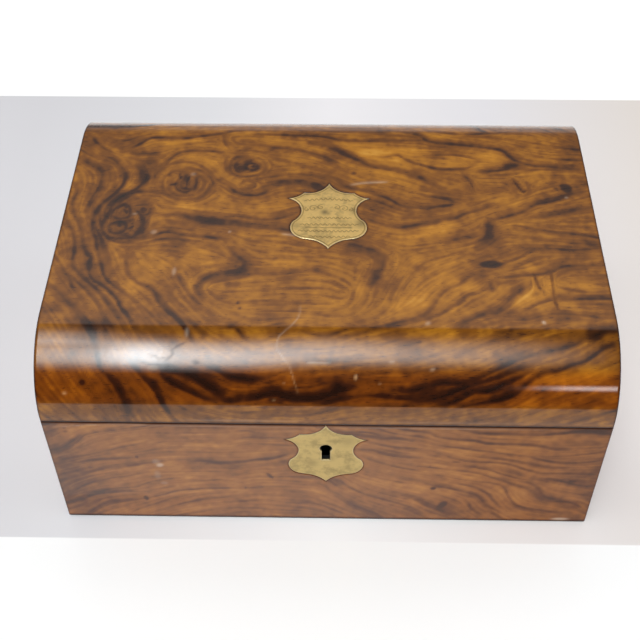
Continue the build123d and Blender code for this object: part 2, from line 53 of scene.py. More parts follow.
# The box's main sizes in mm, read from the frame. The lid's veneer goes a little further
# down than its front rail
lid_low, lid_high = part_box("lid_veneer")
HALF_W, HALF_D, TOP = (c / MM for c in lid_high)
BACK_SEAM = lid_low.z / MM
VENEER_DROP = 1.5
FRONT_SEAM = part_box("lid_front_rail")[0].z / MM - VENEER_DROP
BASE_LOW, BASE_HIGH = (corner.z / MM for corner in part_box("base_front_veneer"))
# A veneer's thickness, the radius of the lid's curve, and of the lid's worn side edges
VENEER, ROUND, WORN = 1.0, 41.0, 0.9
# How far the lid's sheet runs up from the seam, over each curve, over the top and in all
RISE = TOP - ROUND - FRONT_SEAM
ARC = ROUND * pi / 2
FLAT = 2 * (HALF_D - ROUND)
SHEET_END = RISE + 2 * ARC + FLAT + (TOP - ROUND - BACK_SEAM)
# Where the lid's sheet starts along itself, and where the front's stops, short of the seam
LID_EDGE, FRONT_EDGE = 0.6, BASE_HIGH - 0.35

SIDE_VENEERS = ("base_left_veneer", "base_right_veneer",
                "lid_left_end_veneer", "lid_right_end_veneer")

# The photograph's view
LENS, SENSOR = 63.75, 36.0
CAMERA_AT = (0.00585, -0.4754, 0.57728)
CAMERA_TURN = (42.011, 0.28, 1.039)


# Shader graphs


class Graph:
    """A material's or the world's node tree, built by short calls."""

    def __init__(self, owner, fresh=True):
        owner.use_nodes = True
        self.tree = owner.node_tree
        if fresh:
            self.tree.nodes.clear()

    def node(self, kind, inputs=None, **settings):
        made = self.tree.nodes.new("ShaderNode" + kind)
        for key, value in settings.items():
            setattr(made, key, value)
        for key, value in (inputs or {}).items():
            self.feed(made.inputs[key], value)
        return made

    def feed(self, socket, value):
        if isinstance(value, bpy.types.NodeSocket):
            self.tree.links.new(value, socket)
        else:
            socket.default_value = value

    def math(self, operation, a, b=0.0, c=0.0, clamp=False):
        inputs = {0: a, 1: b, 2: c}
        return self.node("Math", inputs, operation=operation, use_clamp=clamp).outputs[0]

    def times(self, a, b, plus=0.0, clamp=False):
        """a times b, plus a third value."""
        return self.math("MULTIPLY_ADD", a, b, plus, clamp)

    def less(self, a, b, clamp=False):
        return self.math("SUBTRACT", a, b, clamp=clamp)

    def share(self, value, low, high):
        """How far a value is on its way from low, 0, to high, 1, and past them."""
        return self.times(value, 1 / (high - low), -low / (high - low))

    def mix(self, share, a, b, blend="MIX"):
        inputs = {0: share, 6: a, 7: b}
        return self.node("Mix", inputs, data_type="RGBA", blend_type=blend).outputs[2]

    def ramp(self, value, stops):
        """Colours, or greys given by one number, at places from 0 to 1."""
        made = self.node("ValToRGB", {0: value})
        elements = made.color_ramp.elements
        while len(elements) < len(stops):
            elements.new(0.5)
        for element, (place, colour) in zip(elements, stops):
            element.position = place
            element.color = colour if isinstance(colour, tuple) else (colour,) * 3 + (1.0,)
        return made.outputs[0]

    def here(self):
        """The place in the object's own metres."""
        return self.node("TexCoord").outputs["Object"]

    def axes(self):
        """The same place as X, Y and Z."""
        return self.node("SeparateXYZ", {0: self.here()}).outputs

    def noise(self, scales, detail=4.0, roughness=0.55, distortion=0.0, turn=0):
        """Noise with one scale or one for each axis, turned about Z by degrees."""
        scales = scales if isinstance(scales, tuple) else (scales,) * 3
        inputs = {"Vector": self.here(), "Scale": scales, "Rotation": (0, 0, radians(turn))}
        inputs = {"Vector": self.node("Mapping", inputs).outputs[0], "Scale": 1.0,
                  "Detail": detail, "Roughness": roughness, "Distortion": distortion}
        return self.node("TexNoise", inputs).outputs[0]

    def attribute(self, name):
        return self.node("Attribute", attribute_name=name).outputs["Fac"]

    def smooth(self, value, low, high):
        """From 0 at low to 1 at high, easing in and out."""
        inputs = {"Value": value, "From Min": low, "From Max": high}
        return self.node("MapRange", inputs, interpolation_type="SMOOTHSTEP").outputs[0]

    def bump(self, height, strength, distance):
        inputs = {"Height": height, "Strength": strength, "Distance": distance}
        return self.node("Bump", inputs).outputs[0]

    def surface(self, **sockets):
        """Adds the shader and its output. A socket's name has _ for its spaces."""
        inputs = {name.replace("_", " "): value for name, value in sockets.items()}
        shader = self.node("BsdfPrincipled", inputs)
        self.node("OutputMaterial", {"Surface": shader.outputs[0]})

    def socket(self, name):
        """A socket of the finished shader."""
        kind = "ShaderNodeBsdfPrincipled"
        return next(n for n in self.tree.nodes if n.bl_idname == kind).inputs[name]

    def paint(self, share, colour):
        """Paints over the finished shader's colour."""
        base = self.socket("Base Color")
        self.feed(base, self.mix(share, base.links[0].from_socket, colour))


def material(name):
    made = bpy.data.materials.new(name)
    return made, Graph(made)


def rgb(*levels):
    """An sRGB colour, 0 to 255, as the renderer's linear one."""
    parts = [c / 255 for c in levels]
    linear = [c / 12.92 if c <= 0.04045 else ((c + 0.055) / 1.055) ** 2.4 for c in parts]
    return (*linear, 1.0)


def stops(*rows):
    """A ramp's stops from rows of place, red, green and blue."""
    return [(place, rgb(*levels)) for place, *levels in rows]


# Tones of polished walnut, from the darkest streak to the palest amber
WALNUT = stops((0.00, 22, 8, 3), (0.22, 62, 31, 7), (0.45, 123, 72, 12),
               (0.70, 177, 115, 22), (1.00, 214, 156, 60))
# The front's wood is drier and greyer, and its tones are set paler as painted light, to make up
# for the light that its upright face lacks
PALER_FRONT_WALNUT = stops((0.00, 58, 26, 8), (0.25, 104, 57, 20), (0.50, 146, 88, 34),
                   (0.75, 182, 118, 48), (1.00, 212, 150, 76))
BARE_WOOD = rgb(226, 204, 180)
# What the colour is multiplied by down the front of the lid's curve, which makes it redder and
# darker, and the Y and Z, in metres, over which it sets in
LOW_CURVE_TINT = (1.04, 0.74, 0.42, 1)
RED_AHEAD, RED_BELOW = (-0.098, -0.105), (0.104, 0.109)
# The X over which the front's polish dulls, and by how much
DULLING, DULLED = (0.01, 0.11), 0.5
# How far in from the lipping's outer edge the painted shade of the seam's gap, with its grime,
# reaches, in mm, from none to black
SEAM_SHADE_REACH = (4.0, 2.5)


def walnut(mat, g, tone, tones=WALNUT, polish=1.0, veil=0.06, bare=None, dirt=None, stain=None):
    """Finishes a polished walnut whose tone is made by the caller.

    It has mottle, pores along X, scuffs that dull the wood, and lumps in the polish."""
    # Painted shade as well as grime darkens the wood here and takes its polish off
    clean_and_unshaded = g.less(1.0, dirt, clamp=True) if dirt else 1.0
    tone = g.math("ADD", tone, g.times(g.noise(30, 3), 0.20, -0.10))
    pores = g.smooth(g.noise((260, 1500, 1500), 2), 0.60, 0.72)
    tone = g.times(pores, -0.13, tone)
    colour = g.ramp(g.times(tone, clean_and_unshaded), tones)
    if bare:
        colour = g.mix(bare, colour, BARE_WOOD)
    if stain:
        colour = g.mix(stain(g), colour, LOW_CURVE_TINT, blend="MULTIPLY")
    scuffs = g.noise((420, 60, 420), 5, turn=35)
    rough = g.times(g.smooth(scuffs, 0.45, 0.8), 0.2, 0.34)
    lumps = g.noise(60, 3)
    grain = g.times(pores, -0.4, lumps)
    g.surface(Base_Color=colour, Roughness=rough, Normal=g.bump(grain, 0.25, 0.0002),
              Specular_IOR_Level=0.06, Coat_Weight=g.times(clean_and_unshaded, polish) if dirt else polish,
              Coat_Roughness=veil, Coat_IOR=1.5, Coat_Normal=g.bump(lumps, 0.12, 0.0003))
    return mat


def figured_walnut(name, **finish):
    """Walnut whose figure lies in the mesh as a tone at each point."""
    mat, g = material(name)
    tone, bare, dirt = (g.attribute(word) for word in ("tone", "bare", "dirt"))
    return walnut(mat, g, tone, bare=bare, dirt=dirt, **finish)


def low_curve(g):
    """How far each point is down the front of the lid's curve, where its colour is made redder and
    darker.
    """
    parts = g.axes()
    return g.times(g.smooth(parts[1], *RED_AHEAD), g.smooth(parts[2], *RED_BELOW))


def plain_walnut(name, axis=0, stretch=1.0, **finish):
    """Walnut with straight to wavy figure along one axis."""
    mat, g = material(name)

    def scales(along, across):
        return tuple(along * stretch if k == axis else across for k in range(3))

    rings = g.math("PINGPONG", g.times(g.noise(scales(6, 34), 3, 0.5, 0.8), 9.0), 1.0)
    fine = g.noise(scales(22, 420), 4, 0.6)
    tone = g.times(g.smooth(rings, 0.0, 1.0), 0.34, 0.28)
    tone = g.times(g.less(fine, 0.5), 0.35, tone)
    return walnut(mat, g, tone, **finish)


def metal(name, colour, tarnish, roughness):
    """Old metal with tarnish in clouds and fine rubbing marks."""
    mat, g = material(name)
    rubbed = g.noise((40, 900, 900), 3, 0.6, turn=8)
    share = g.times(g.smooth(g.noise(60, 5, 0.6), 0.38, 0.72), 0.5)
    share = g.times(g.less(rubbed, 0.5), 0.3, share, clamp=True)
    g.surface(Base_Color=g.mix(share, colour, tarnish), Roughness=g.times(share, 0.25, roughness),
              Normal=g.bump(rubbed, 0.06, 0.0001), Metallic=1.0)
    return mat


def shield_brass(name, colour, patina, border):
    """Plate brass: dull patches, a rubbed rim, grime in its cut lines, and painted shade on its
    sides and down its holes.
    """
    mat, g = material(name)
    dull = g.times(g.smooth(g.noise(130, 6, 0.65), 0.42, 0.66), 0.55)
    dull = g.math("MAXIMUM", dull, g.attribute("spot"))
    rubbed = g.noise((60, 1400, 1400), 4, 0.7, turn=12)
    dull = g.times(g.less(rubbed, 0.5), 0.35, dull, clamp=True)
    rim = g.times(g.smooth(g.attribute("rim"), 0.85, 0.25), 0.75)
    line = g.times(g.attribute("engraved"), 0.62, clamp=True)
    base = g.mix(rim, g.mix(dull, colour, patina), border)
    g.surface(Base_Color=g.mix(line, base, rgb(74, 56, 26)), Roughness=g.times(dull, 0.22, 0.36),
              Normal=g.bump(rubbed, 0.08, 0.0001), Metallic=0.85)
    return mat


def keyhole_shade(mat, centre, reach):
    """Paints black shade, with old grease, on a finished material inside the keyhole, in front of
    centre.

    Both are in metres."""
    g = Graph(mat, fresh=False)
    flat = g.node("VectorMath", {0: g.here(), 1: (1, 0, 1)}, operation="MULTIPLY")
    middle = (centre[0], 0, centre[2])
    gap = g.node("VectorMath", {0: flat.outputs[0], 1: middle}, operation="DISTANCE")
    black = g.smooth(gap.outputs["Value"], reach, reach * 0.8)
    ahead = g.smooth(g.axes()[1], centre[1], centre[1] - 0.0003)
    # painted shade, near black, deep inside the keyhole
    g.paint(g.times(black, ahead), rgb(6, 5, 4))
    return mat


def seam_shaded_lipping(name, **finish):
    """Lipping whose outer edge, down in the seam, is painted black: painted shade of the seam's
    gap, with grime, and no polish there.
    """
    mat = plain_walnut(name, **finish)
    g = Graph(mat, fresh=False)
    x, y = (g.math("ABSOLUTE", g.axes()[k]) for k in (0, 1))
    out = g.math("MAXIMUM", g.less(x, (HALF_W - HALF_D) * MM), y)
    dirt = g.smooth(out, *((HALF_D - reach) * MM for reach in SEAM_SHADE_REACH))
    # painted shade, near black, in the seam's gap, where grime also sits; the polish is taken off
    # there too
    g.paint(dirt, rgb(10, 5, 4))
    coat = g.socket("Coat Weight")
    g.feed(coat, g.times(dirt, -coat.default_value, coat.default_value))
    return mat


def drier_right(mat):
    """Takes some of the polish off a finished material towards the right."""
    g = Graph(mat, fresh=False)
    coat = g.socket("Coat Weight")
    share = g.times(g.smooth(g.axes()[0], *DULLING), -DULLED, 1.0)
    g.feed(coat, g.times(coat.links[0].from_socket, share))
    return mat


def softwood(name):
    mat, g = material(name)
    rings = g.math("PINGPONG", g.times(g.noise((3, 60, 60), 2, 0.5, 0.4), 14.0), 1.0)
    fine = g.noise((12, 700, 700))
    tone = g.times(fine, 0.5, g.times(rings, 0.5))
    colour = g.ramp(tone, stops((0.1, 150, 104, 58), (0.9, 206, 168, 112)))
    g.surface(Base_Color=colour, Roughness=0.62, Normal=g.bump(fine, 0.2, 0.0002))
    return mat


def baize(name):
    mat, g = material(name)
    nap = g.noise(900, 5, 0.7)
    tone = g.times(nap, 0.6, g.times(g.noise(40, 3), 0.4))
    colour = g.ramp(tone, stops((0.3, 18, 34, 24), (0.7, 44, 70, 50)))
    g.surface(Base_Color=colour, Roughness=0.95, Normal=g.bump(nap, 0.7, 0.0004),
              Sheen_Weight=0.4)
    return mat


# The gilt lines: mm in from the leather's edge, how they wave, and their half width. Then
# the waves' length in metres and their swing in mm
TOOLING = ((6.0, 0.0, 0.45), (8.6, 1.0, 0.35), (8.6, -1.0, 0.35), (11.2, 0.0, 0.3))
WAVE, SWING = 0.0042, 0.9


def tooled_leather(name, node):
    """Dark leather with fine grain and a gilt tooled border along its node's edges."""
    mat, g = material(name)
    place, (low, high) = g.axes(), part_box(node)
    grain = g.node("TexVoronoi", {"Vector": g.here(), "Scale": 1300.0}).outputs["Distance"]
    colour = g.ramp(g.noise(45), stops((0.3, 58, 20, 20), (0.62, 98, 36, 32), (0.8, 128, 62, 50)))
    gaps = []
    for axis in (0, 1):
        middle, half = (low[axis] + high[axis]) / 2, (high[axis] - low[axis]) / 2
        gaps.append(g.less(half, g.math("ABSOLUTE", g.less(place[axis], middle))))
    edge = g.times(g.math("MINIMUM", *gaps), 1 / MM)
    wave = g.times(g.math("ADD", place[0], place[1]), 2 * pi / WAVE)
    swing = g.times(g.math("SINE", wave), SWING)
    gilt = 0.0
    for middle, swinging, reach in TOOLING:
        off = g.math("ABSOLUTE", g.less(edge, g.times(swing, swinging, middle)))
        gilt = g.math("MAXIMUM", g.smooth(off, reach, reach * 0.5), gilt)
    gilt = g.times(gilt, g.smooth(g.noise(260, 3), 0.30, 0.46))
    height = g.times(gilt, -0.5, grain)
    g.surface(Base_Color=g.mix(gilt, colour, rgb(214, 168, 84)),
              Roughness=g.times(gilt, -0.2, 0.52), Normal=g.bump(height, 0.35, 0.0002),
              Metallic=g.times(gilt, 0.8))
    return mat


def glass(name):
    mat, g = material(name)
    g.surface(Normal=g.bump(g.noise(160, 3), 0.05, 0.0003), Base_Color=(0.90, 0.96, 0.94, 1),
              Roughness=0.03, IOR=1.5, Transmission_Weight=1.0)
    return mat


# The figure of the show veneers, drawn on the flat sheet in mm: x, and the way from
# the front of the curve up and over the lid, or the height on the front. A streak, a mark
# and a chip have their half width, their depth and then x and the way for each point that
# they pass through; a streak is dark and crisp along its right-hand side. A cloud, a spot
# and a fleck have their place, their reach along and across, their amount and, where it
# isn't 0, their turn in degrees.

LID_STREAKS = [
    # the left side's long lines, down round the knots and over the curve
    (1.6, 0.28, -150, 190, -143, 184, -138, 180, -135, 174, -135, 168, -136, 160, -139, 150,
     -141, 140),
    (1.4, 0.33, -141, 192, -131, 189, -126, 183, -122.6, 178, -121.4, 172, -122, 166, -125, 159,
     -130, 152, -133, 146, -135, 138, -134, 132, -131, 126, -128, 120, -125, 110, -121, 101),
    (1.8, 0.3, -113, 181, -109, 173, -110, 168, -114, 162, -120, 157, -125, 150, -126.5, 143,
     -128, 137, -129.5, 130, -127, 123.5, -120, 120, -104, 122),
    (1.2, 0.25, -146, 208, -139, 200, -132, 195),
    (1.5, 0.28, -150, 168, -148, 160, -149, 150, -147, 142, -142, 131, -139, 120, -137.5, 111),
    (1.3, 0.32, -140, 140, -135, 134, -134, 127, -131, 120, -129, 112, -126, 103, -122, 91),
    (1.3, 0.3, -151, 136, -146, 128, -143, 120, -141.5, 110, -141, 100, -138, 95, -134, 90,
     -129, 85, -124, 80, -119, 73, -114, 66, -110, 60, -106, 53),
    (1.3, 0.36, -137.5, 116, -136, 111, -133.5, 107, -131.4, 105, -132, 101, -129, 90, -124, 85,
     -119, 81, -113, 74, -110, 68, -105, 61, -101, 54),
    (1.2, 0.3, -128, 112, -125, 102, -122, 91, -116, 84, -111, 80, -105, 74, -100, 68, -96, 61),
    (2, 0.34, -152, 84, -146, 80, -140, 73, -134, 66, -130, 60, -126, 55, -121, 46, -117.6, 33,
     -113, 28.7, -109, 23, -106, 16, -104, 6),
    (1.2, 0.28, -147, 98, -143, 92, -140, 90, -136, 86, -131, 81, -126, 75, -122, 69, -119, 62,
     -115, 55),
    (1, 0.2, -150, 104, -145, 97, -141, 90, -138, 82, -133, 75, -128, 68, -124, 62),
    (1.5, 0.38, -100, 84, -94, 80, -90, 72, -85, 65, -80, 61, -74, 54, -70, 47),
    (1.4, 0.28, -113, 108, -111, 100, -109, 93, -103, 86, -96, 83, -90, 80),
    (1.2, 0.26, -108, 78, -102, 72, -95, 65, -90, 60, -84, 54),
    (1, 0.2, -104, 82, -98, 76, -92, 68, -88, 62),
    (1.2, 0.22, -82, 92, -78, 84, -73, 76, -66, 68, -60, 62),
    (1.6, 0.28, -76, 62, -70, 56.4, -63, 50),
    # the back left
    (1.3, 0.38, -123, 196.5, -116, 203, -110.5, 208.5, -103, 209.5, -90, 209, -80, 211,
     -68, 213.5, -60, 217, -48, 219),
    (1.6, 0.25, -122, 197, -118, 194.5, -110, 194, -103, 195),
    (1.2, 0.36, -97.6, 184, -96, 189, -92, 194.5, -88, 196.5, -80, 197.3, -72, 197, -65, 195.5),
    (1.5, 0.28, -66, 214, -65, 207, -63, 202),
    # the large ringed knot
    (1.2, 0.25, -97, 184, -90, 186.5, -82, 186, -75, 181, -70, 175, -66, 170, -60, 167),
    (1.2, 0.2, -100, 168, -97.6, 159, -90, 153.5, -81, 153.3, -73, 156.7, -70, 163.3, -68.7, 170,
     -74, 178, -83, 180.5, -92, 179, -98.5, 173, -100, 166),
    (1, 0.13, -96, 168, -94, 161, -88, 156.5, -80, 157, -75, 162, -73, 169, -78, 175, -86, 177.5,
     -93, 175, -96, 167),
    (1, 0.15, -91, 168, -89, 162, -84, 159.5, -79.5, 163, -78.5, 170, -81, 174, -87, 174.5,
     -91, 167),
    (2.2, 0.3, -89, 178, -86, 175, -86.5, 171),
    (1.1, 0.26, -79, 175, -78.5, 168, -79.5, 161),
    # the double knot before it
    (1.2, 0.35, -125.5, 129.5, -124, 125.5, -120, 124.3, -116, 126, -114.8, 130, -117, 133.8,
     -121, 134.2, -125, 131, -125.5, 128),
    (2.2, 0.3, -112, 144, -108, 139, -106.5, 133, -107.5, 126, -110, 122),
    (1.5, 0.34, -126, 141, -125.5, 147, -123, 152.5, -118.5, 157, -112, 159.5, -104, 160,
     -97, 158),
    (1.4, 0.3, -122, 145.6, -118.5, 148, -115.3, 146, -114.5, 141),
    (1.4, 0.28, -110, 148, -106, 149, -103, 145.5, -104, 141, -108, 140),
    (1.2, 0.25, -131, 140, -130, 131, -126, 121.5, -118, 117, -108, 117),
    (1, 0.22, -124, 139, -121, 136.5, -116, 137, -112, 140),
    # the small double knot and the ring under it
    (1, 0.3, -56.3, 180.6, -54, 178, -51.3, 179.5, -51.3, 182.3, -54, 183.3, -56.3, 180),
    (1.3, 0.35, -50.5, 185, -48, 186, -44.5, 185, -43.5, 182.3, -45.5, 180.6, -48.5, 181),
    (1.8, 0.3, -52.5, 178.5, -50.5, 181, -49.5, 185, -46, 189),
    (1.1, 0.13, -61, 187, -58, 177, -50, 174, -41, 176, -38, 183, -41, 190, -49, 193, -57, 192,
     -61, 185),
    (1, 0.2, -53, 167, -51, 163.3, -46, 162.8, -43.2, 166, -45, 170, -50, 170.7, -53, 166.5),
    (1.4, 0.34, -58, 163, -53.5, 159, -47, 157.2, -40.6, 157.8, -35, 161.5),
    # the dark band left of the plate, and the lobe before it
    (3, 0.27, -92, 141, -85, 141.5, -79, 138, -74, 135.5, -63, 133.3, -52, 132.2, -44, 131,
     -33, 130, -22, 127.8, -15, 124.4),
    (1.3, 0.22, -57, 140, -50, 139, -38, 136.7, -28, 137.8, -20, 142),
    (1.2, 0.3, -98.7, 122.2, -92, 125.6, -81, 123.3, -70, 122.2, -60, 120),
    (1, 0.2, -99, 119, -88, 121, -76, 118),
    (3, 0.3, -57, 119, -54, 112, -49, 106, -45.5, 101, -48, 97.5, -56, 95, -63, 92.5, -68.5, 87.6,
     -71, 82, -68, 77),
    (1, 0.22, -60, 97, -50, 98.5, -44, 97),
    # the back, middle and right
    (1.3, 0.28, -45, 213.5, -38, 213.3, -18, 212.8, -5, 211.7, 7, 208.3, 17, 207.5, 28, 207.8,
     45, 208, 57, 209.5),
    (1.1, 0.22, -10.6, 219.4, 0.6, 217.8, 11.7, 219, 29.4, 220, 39.4, 219, 50, 216),
    (1.7, 0.38, 51, 216, 56.5, 212, 58, 209.3, 63, 207.2, 73, 205.6, 84, 203.9, 94, 202.2,
     103, 200, 107, 195.6, 110.6, 191, 116, 187.8, 124, 185.5, 140, 184.5),
    (1.3, 0.3, 58, 220, 67, 217.8, 75, 216, 83, 215.6, 93, 216, 103, 217.2, 112, 219),
    (2.6, 0.4, -10, 204.5, -4, 203.5, 1, 201, 8.3, 195.6, 16, 190.5, 22.8, 185.6, 29.4, 183,
     39.4, 181, 48.3, 176.7, 56, 172, 62, 166),
    (1.4, 0.3, -43, 203.5, -33, 201, -22, 200, -13, 196.5, -3, 192.5, 4, 187.5),
    (1.4, 0.32, 28, 193.5, 34, 193.3, 40.6, 194.4, 45, 191, 50, 187.8, 56, 185.6, 62.8, 182.2,
     70, 181.7, 80.6, 182.8, 86, 186, 89.5, 189),
    (1.1, 0.22, 45, 195, 50.6, 193.3, 59.4, 194.6, 73, 195.3, 82, 193.3, 88.3, 191, 94, 189.4),
    (2.2, 0.4, 90, 178.8, 96, 180.6, 104, 182.2, 108, 185, 115, 185.8),
    (1.2, 0.22, 91, 178, 100, 177.3, 111, 178.8, 122, 182, 135, 183.5, 150, 182.5),
    (1, 0.2, 106.7, 193.3, 118, 191, 124.4, 187.8, 134.4, 187.2, 150, 186.5),
    (1.2, 0.25, 78.3, 177.8, 82.8, 172.2, 84, 166.7),
    (0.9, 0.28, 107.8, 174.4, 111, 165.6, 113.3, 162.2, 116.7, 164.4),
    (0.8, 0.24, 115.6, 172.2, 116.7, 164.4),
    (0.8, 0.24, 120, 169.4, 122.8, 171),
    # about the plate
    (1.4, 0.28, -35, 174, -22, 175.8, -10.6, 174.6, -2, 172),
    (2.4, 0.24, -31, 167, -22, 170, -12, 169, -6, 164),
    (1.5, 0.2, 5, 170, 10, 166, 18, 163, 28, 161),
    (1.2, 0.2, 26, 159, 34, 155.6, 41.7, 149, 50, 147.8, 60, 150),
    (1.5, 0.3, 50, 151, 55, 147.2, 62.8, 149, 69.4, 150, 74, 153),
    (1.3, 0.25, 56, 157.8, 62.8, 156.7, 70.6, 154.4, 73, 151),
    (1.8, 0.3, 22.8, 137.8, 30, 134, 40.6, 131, 50, 133.3, 59.4, 135, 65, 137.8, 71.7, 139,
     78.3, 143.3, 87, 146.7, 95, 151),
    # the right side
    (1.7, 0.38, 90.6, 136.7, 96, 139, 105, 142.2, 111.7, 145.6, 118.3, 151, 125, 153.3,
     134, 156.7, 140.6, 160, 151, 163.5),
    (2.4, 0.22, 120, 141, 125.6, 142.2, 134.4, 145.6, 144.4, 147.8, 152, 148.5),
    (3.2, 0.34, 90.3, 137, 90.5, 131, 88.5, 123, 84, 119),
    (1.3, 0.22, 68, 121.5, 78.3, 123.3, 85, 125.6),
    (1.3, 0.2, 110, 133, 120, 130, 132, 128, 145, 126, 152, 124),
    (1.1, 0.18, 105, 124, 118, 122, 135, 120, 152, 117),
    (1.4, 0.28, 96, 92.5, 105, 94, 116, 95.3, 122.8, 97.6, 129.4, 101, 139.4, 102, 152, 103.3),
    (1.2, 0.2, 100, 105, 107, 108.7, 111.7, 113, 120.6, 115.3, 135, 114, 150, 116),
    (1.5, 0.34, 104, 67.5, 107, 69.8, 111.7, 73, 117, 75.3, 125, 77, 134, 77.2, 152, 78),
    (1.2, 0.2, 122, 86, 130, 84, 140, 82, 152, 83),
    (1.2, 0.2, 96, 63, 106, 62, 118, 66, 130, 66, 145, 63),
    (0.7, 0.3, 111.7, 96, 113, 89, 114.6, 83),
    (0.7, 0.32, 121.7, 97, 121.2, 83, 120.8, 77, 122.2, 69.8),
    (0.8, 0.3, 87.7, 88.5, 88.3, 83),
    # the loops before the plate
    (1.8, 0.2, -45, 91, -40.6, 93, -27, 93.7, -10.6, 96.4, -2.8, 95.3, 6, 92, 12, 86),
    (1, 0.16, -47, 86, -30, 88, -12, 89.5, 0, 88, 8, 84),
    (1, 0.17, -40, 81, -30, 82, -19, 82.5, -3, 83, 6, 80),
    (0.9, 0.14, -35, 77, -20, 78, -5, 78, 4, 76),
    (0.9, 0.14, -45, 72, -28, 73, -10, 72, 3, 72),
    (1.3, 0.2, -5, 64, 4, 62.5, 11.7, 63.5, 18.3, 68.7, 21.7, 75.3, 22.8, 82, 25, 88),
    (3.2, 0.26, 21.5, 78, 23, 84, 26, 90, 29, 97.6, 30.6, 105, 28, 111, 19, 115.3, 11, 118),
    (1.2, 0.2, 0.6, 66.5, 9, 69, 14, 75, 15, 82, 18, 89),
    (1.3, 0.2, 12, 58, 20, 60, 28, 64, 33, 70, 35, 78, 38, 86, 42, 93),
    (1.4, 0.3, -5, 51, 0.6, 51, 14, 55.3, 28, 56.4, 39.4, 59.8, 45, 61.5, 52, 64.5, 57, 72,
     61.7, 79.8, 66, 84.2, 71.7, 87.6, 76, 92, 81.7, 95.3, 89.4, 97.6),
    (1.1, 0.22, 7.2, 49.5, 22.8, 54.2, 34, 56.6, 42, 58),
    (1.3, 0.26, 40, 58.5, 48.3, 60.5, 55, 62.5, 60, 65, 66, 69.8, 71.7, 74.2, 75, 78.7, 81.7, 81,
     87.2, 85.3),
    (2, 0.26, 66, 57, 72, 59.8, 78.3, 63, 84, 65.3, 89.4, 66.6, 94, 71, 98.3, 77.6, 104, 83,
     108.5, 88),
    (3, 0.2, 74, 92, 79, 94.5, 84, 96),
    # the curve's front
    (1.4, 0.38, 97, 20, 100.6, 23, 105, 27.6, 111.7, 32, 120.6, 33.7, 127, 36.4, 134, 38.7,
     140.6, 43, 145, 46, 152, 48.3),
    (2.4, 0.3, 138, 49.5, 142.8, 54, 152, 55.3),
    (1.6, 0.3, 34, 22, 45, 22, 51.7, 24.2, 60.6, 26.4, 73, 26.6, 83, 31, 94, 36.4, 105, 41,
     118, 44, 130, 48, 139, 53),
    (1.5, 0.3, 44, 15.5, 51.7, 16.4, 60.6, 18.7, 69.4, 23, 78.3, 26.4, 89.4, 29.8, 100.6, 34.2,
     110, 38),
    (1.6, 0.34, 58, 13, 61.7, 14.2, 70.6, 17.6, 77, 22, 84, 22, 93, 26.4, 100.6, 29.8, 107, 34),
    (1.8, 0.36, 70, 13, 79.4, 15.3, 90.6, 17.6, 97, 19.8, 103, 24.2),
    (1.8, 0.38, -103, 37, -99.8, 33, -95, 27.6, -90, 22, -86.4, 14.2, -83, 6.4),
    (3, 0.44, -90, 34, -81, 32, -72, 29.8, -65, 25.3, -60, 22, -52, 16.4),
    (2, 0.38, -85, 27.6, -78.7, 24.2, -70, 19.8, -63, 16.4, -56, 14),
    (1.8, 0.34, -62, 34, -56.4, 32, -51, 28.7, -44, 27.6, -33, 27.6, -26, 30),
    (2.6, 0.42, -60, 16, -50, 15, -38, 16.6, -33, 18.7, -26, 19.8, -19.4, 17.6, -10.6, 16.4,
     0.6, 18.7, 7.2, 22, 15, 24),
    (1.4, 0.28, -5, 12.5, 8, 17, 20, 19, 34, 18.5, 45, 17.5),
    (1.2, 0.22, -10, 37, 2, 37.3, 12, 38.3, 24, 39),
    (1.5, 0.2, -30, 50.5, -24, 53, -15, 54.5, -8, 52),
    (1.6, 0.24, -55, 55, -48, 55, -44, 50, -40, 47),
]
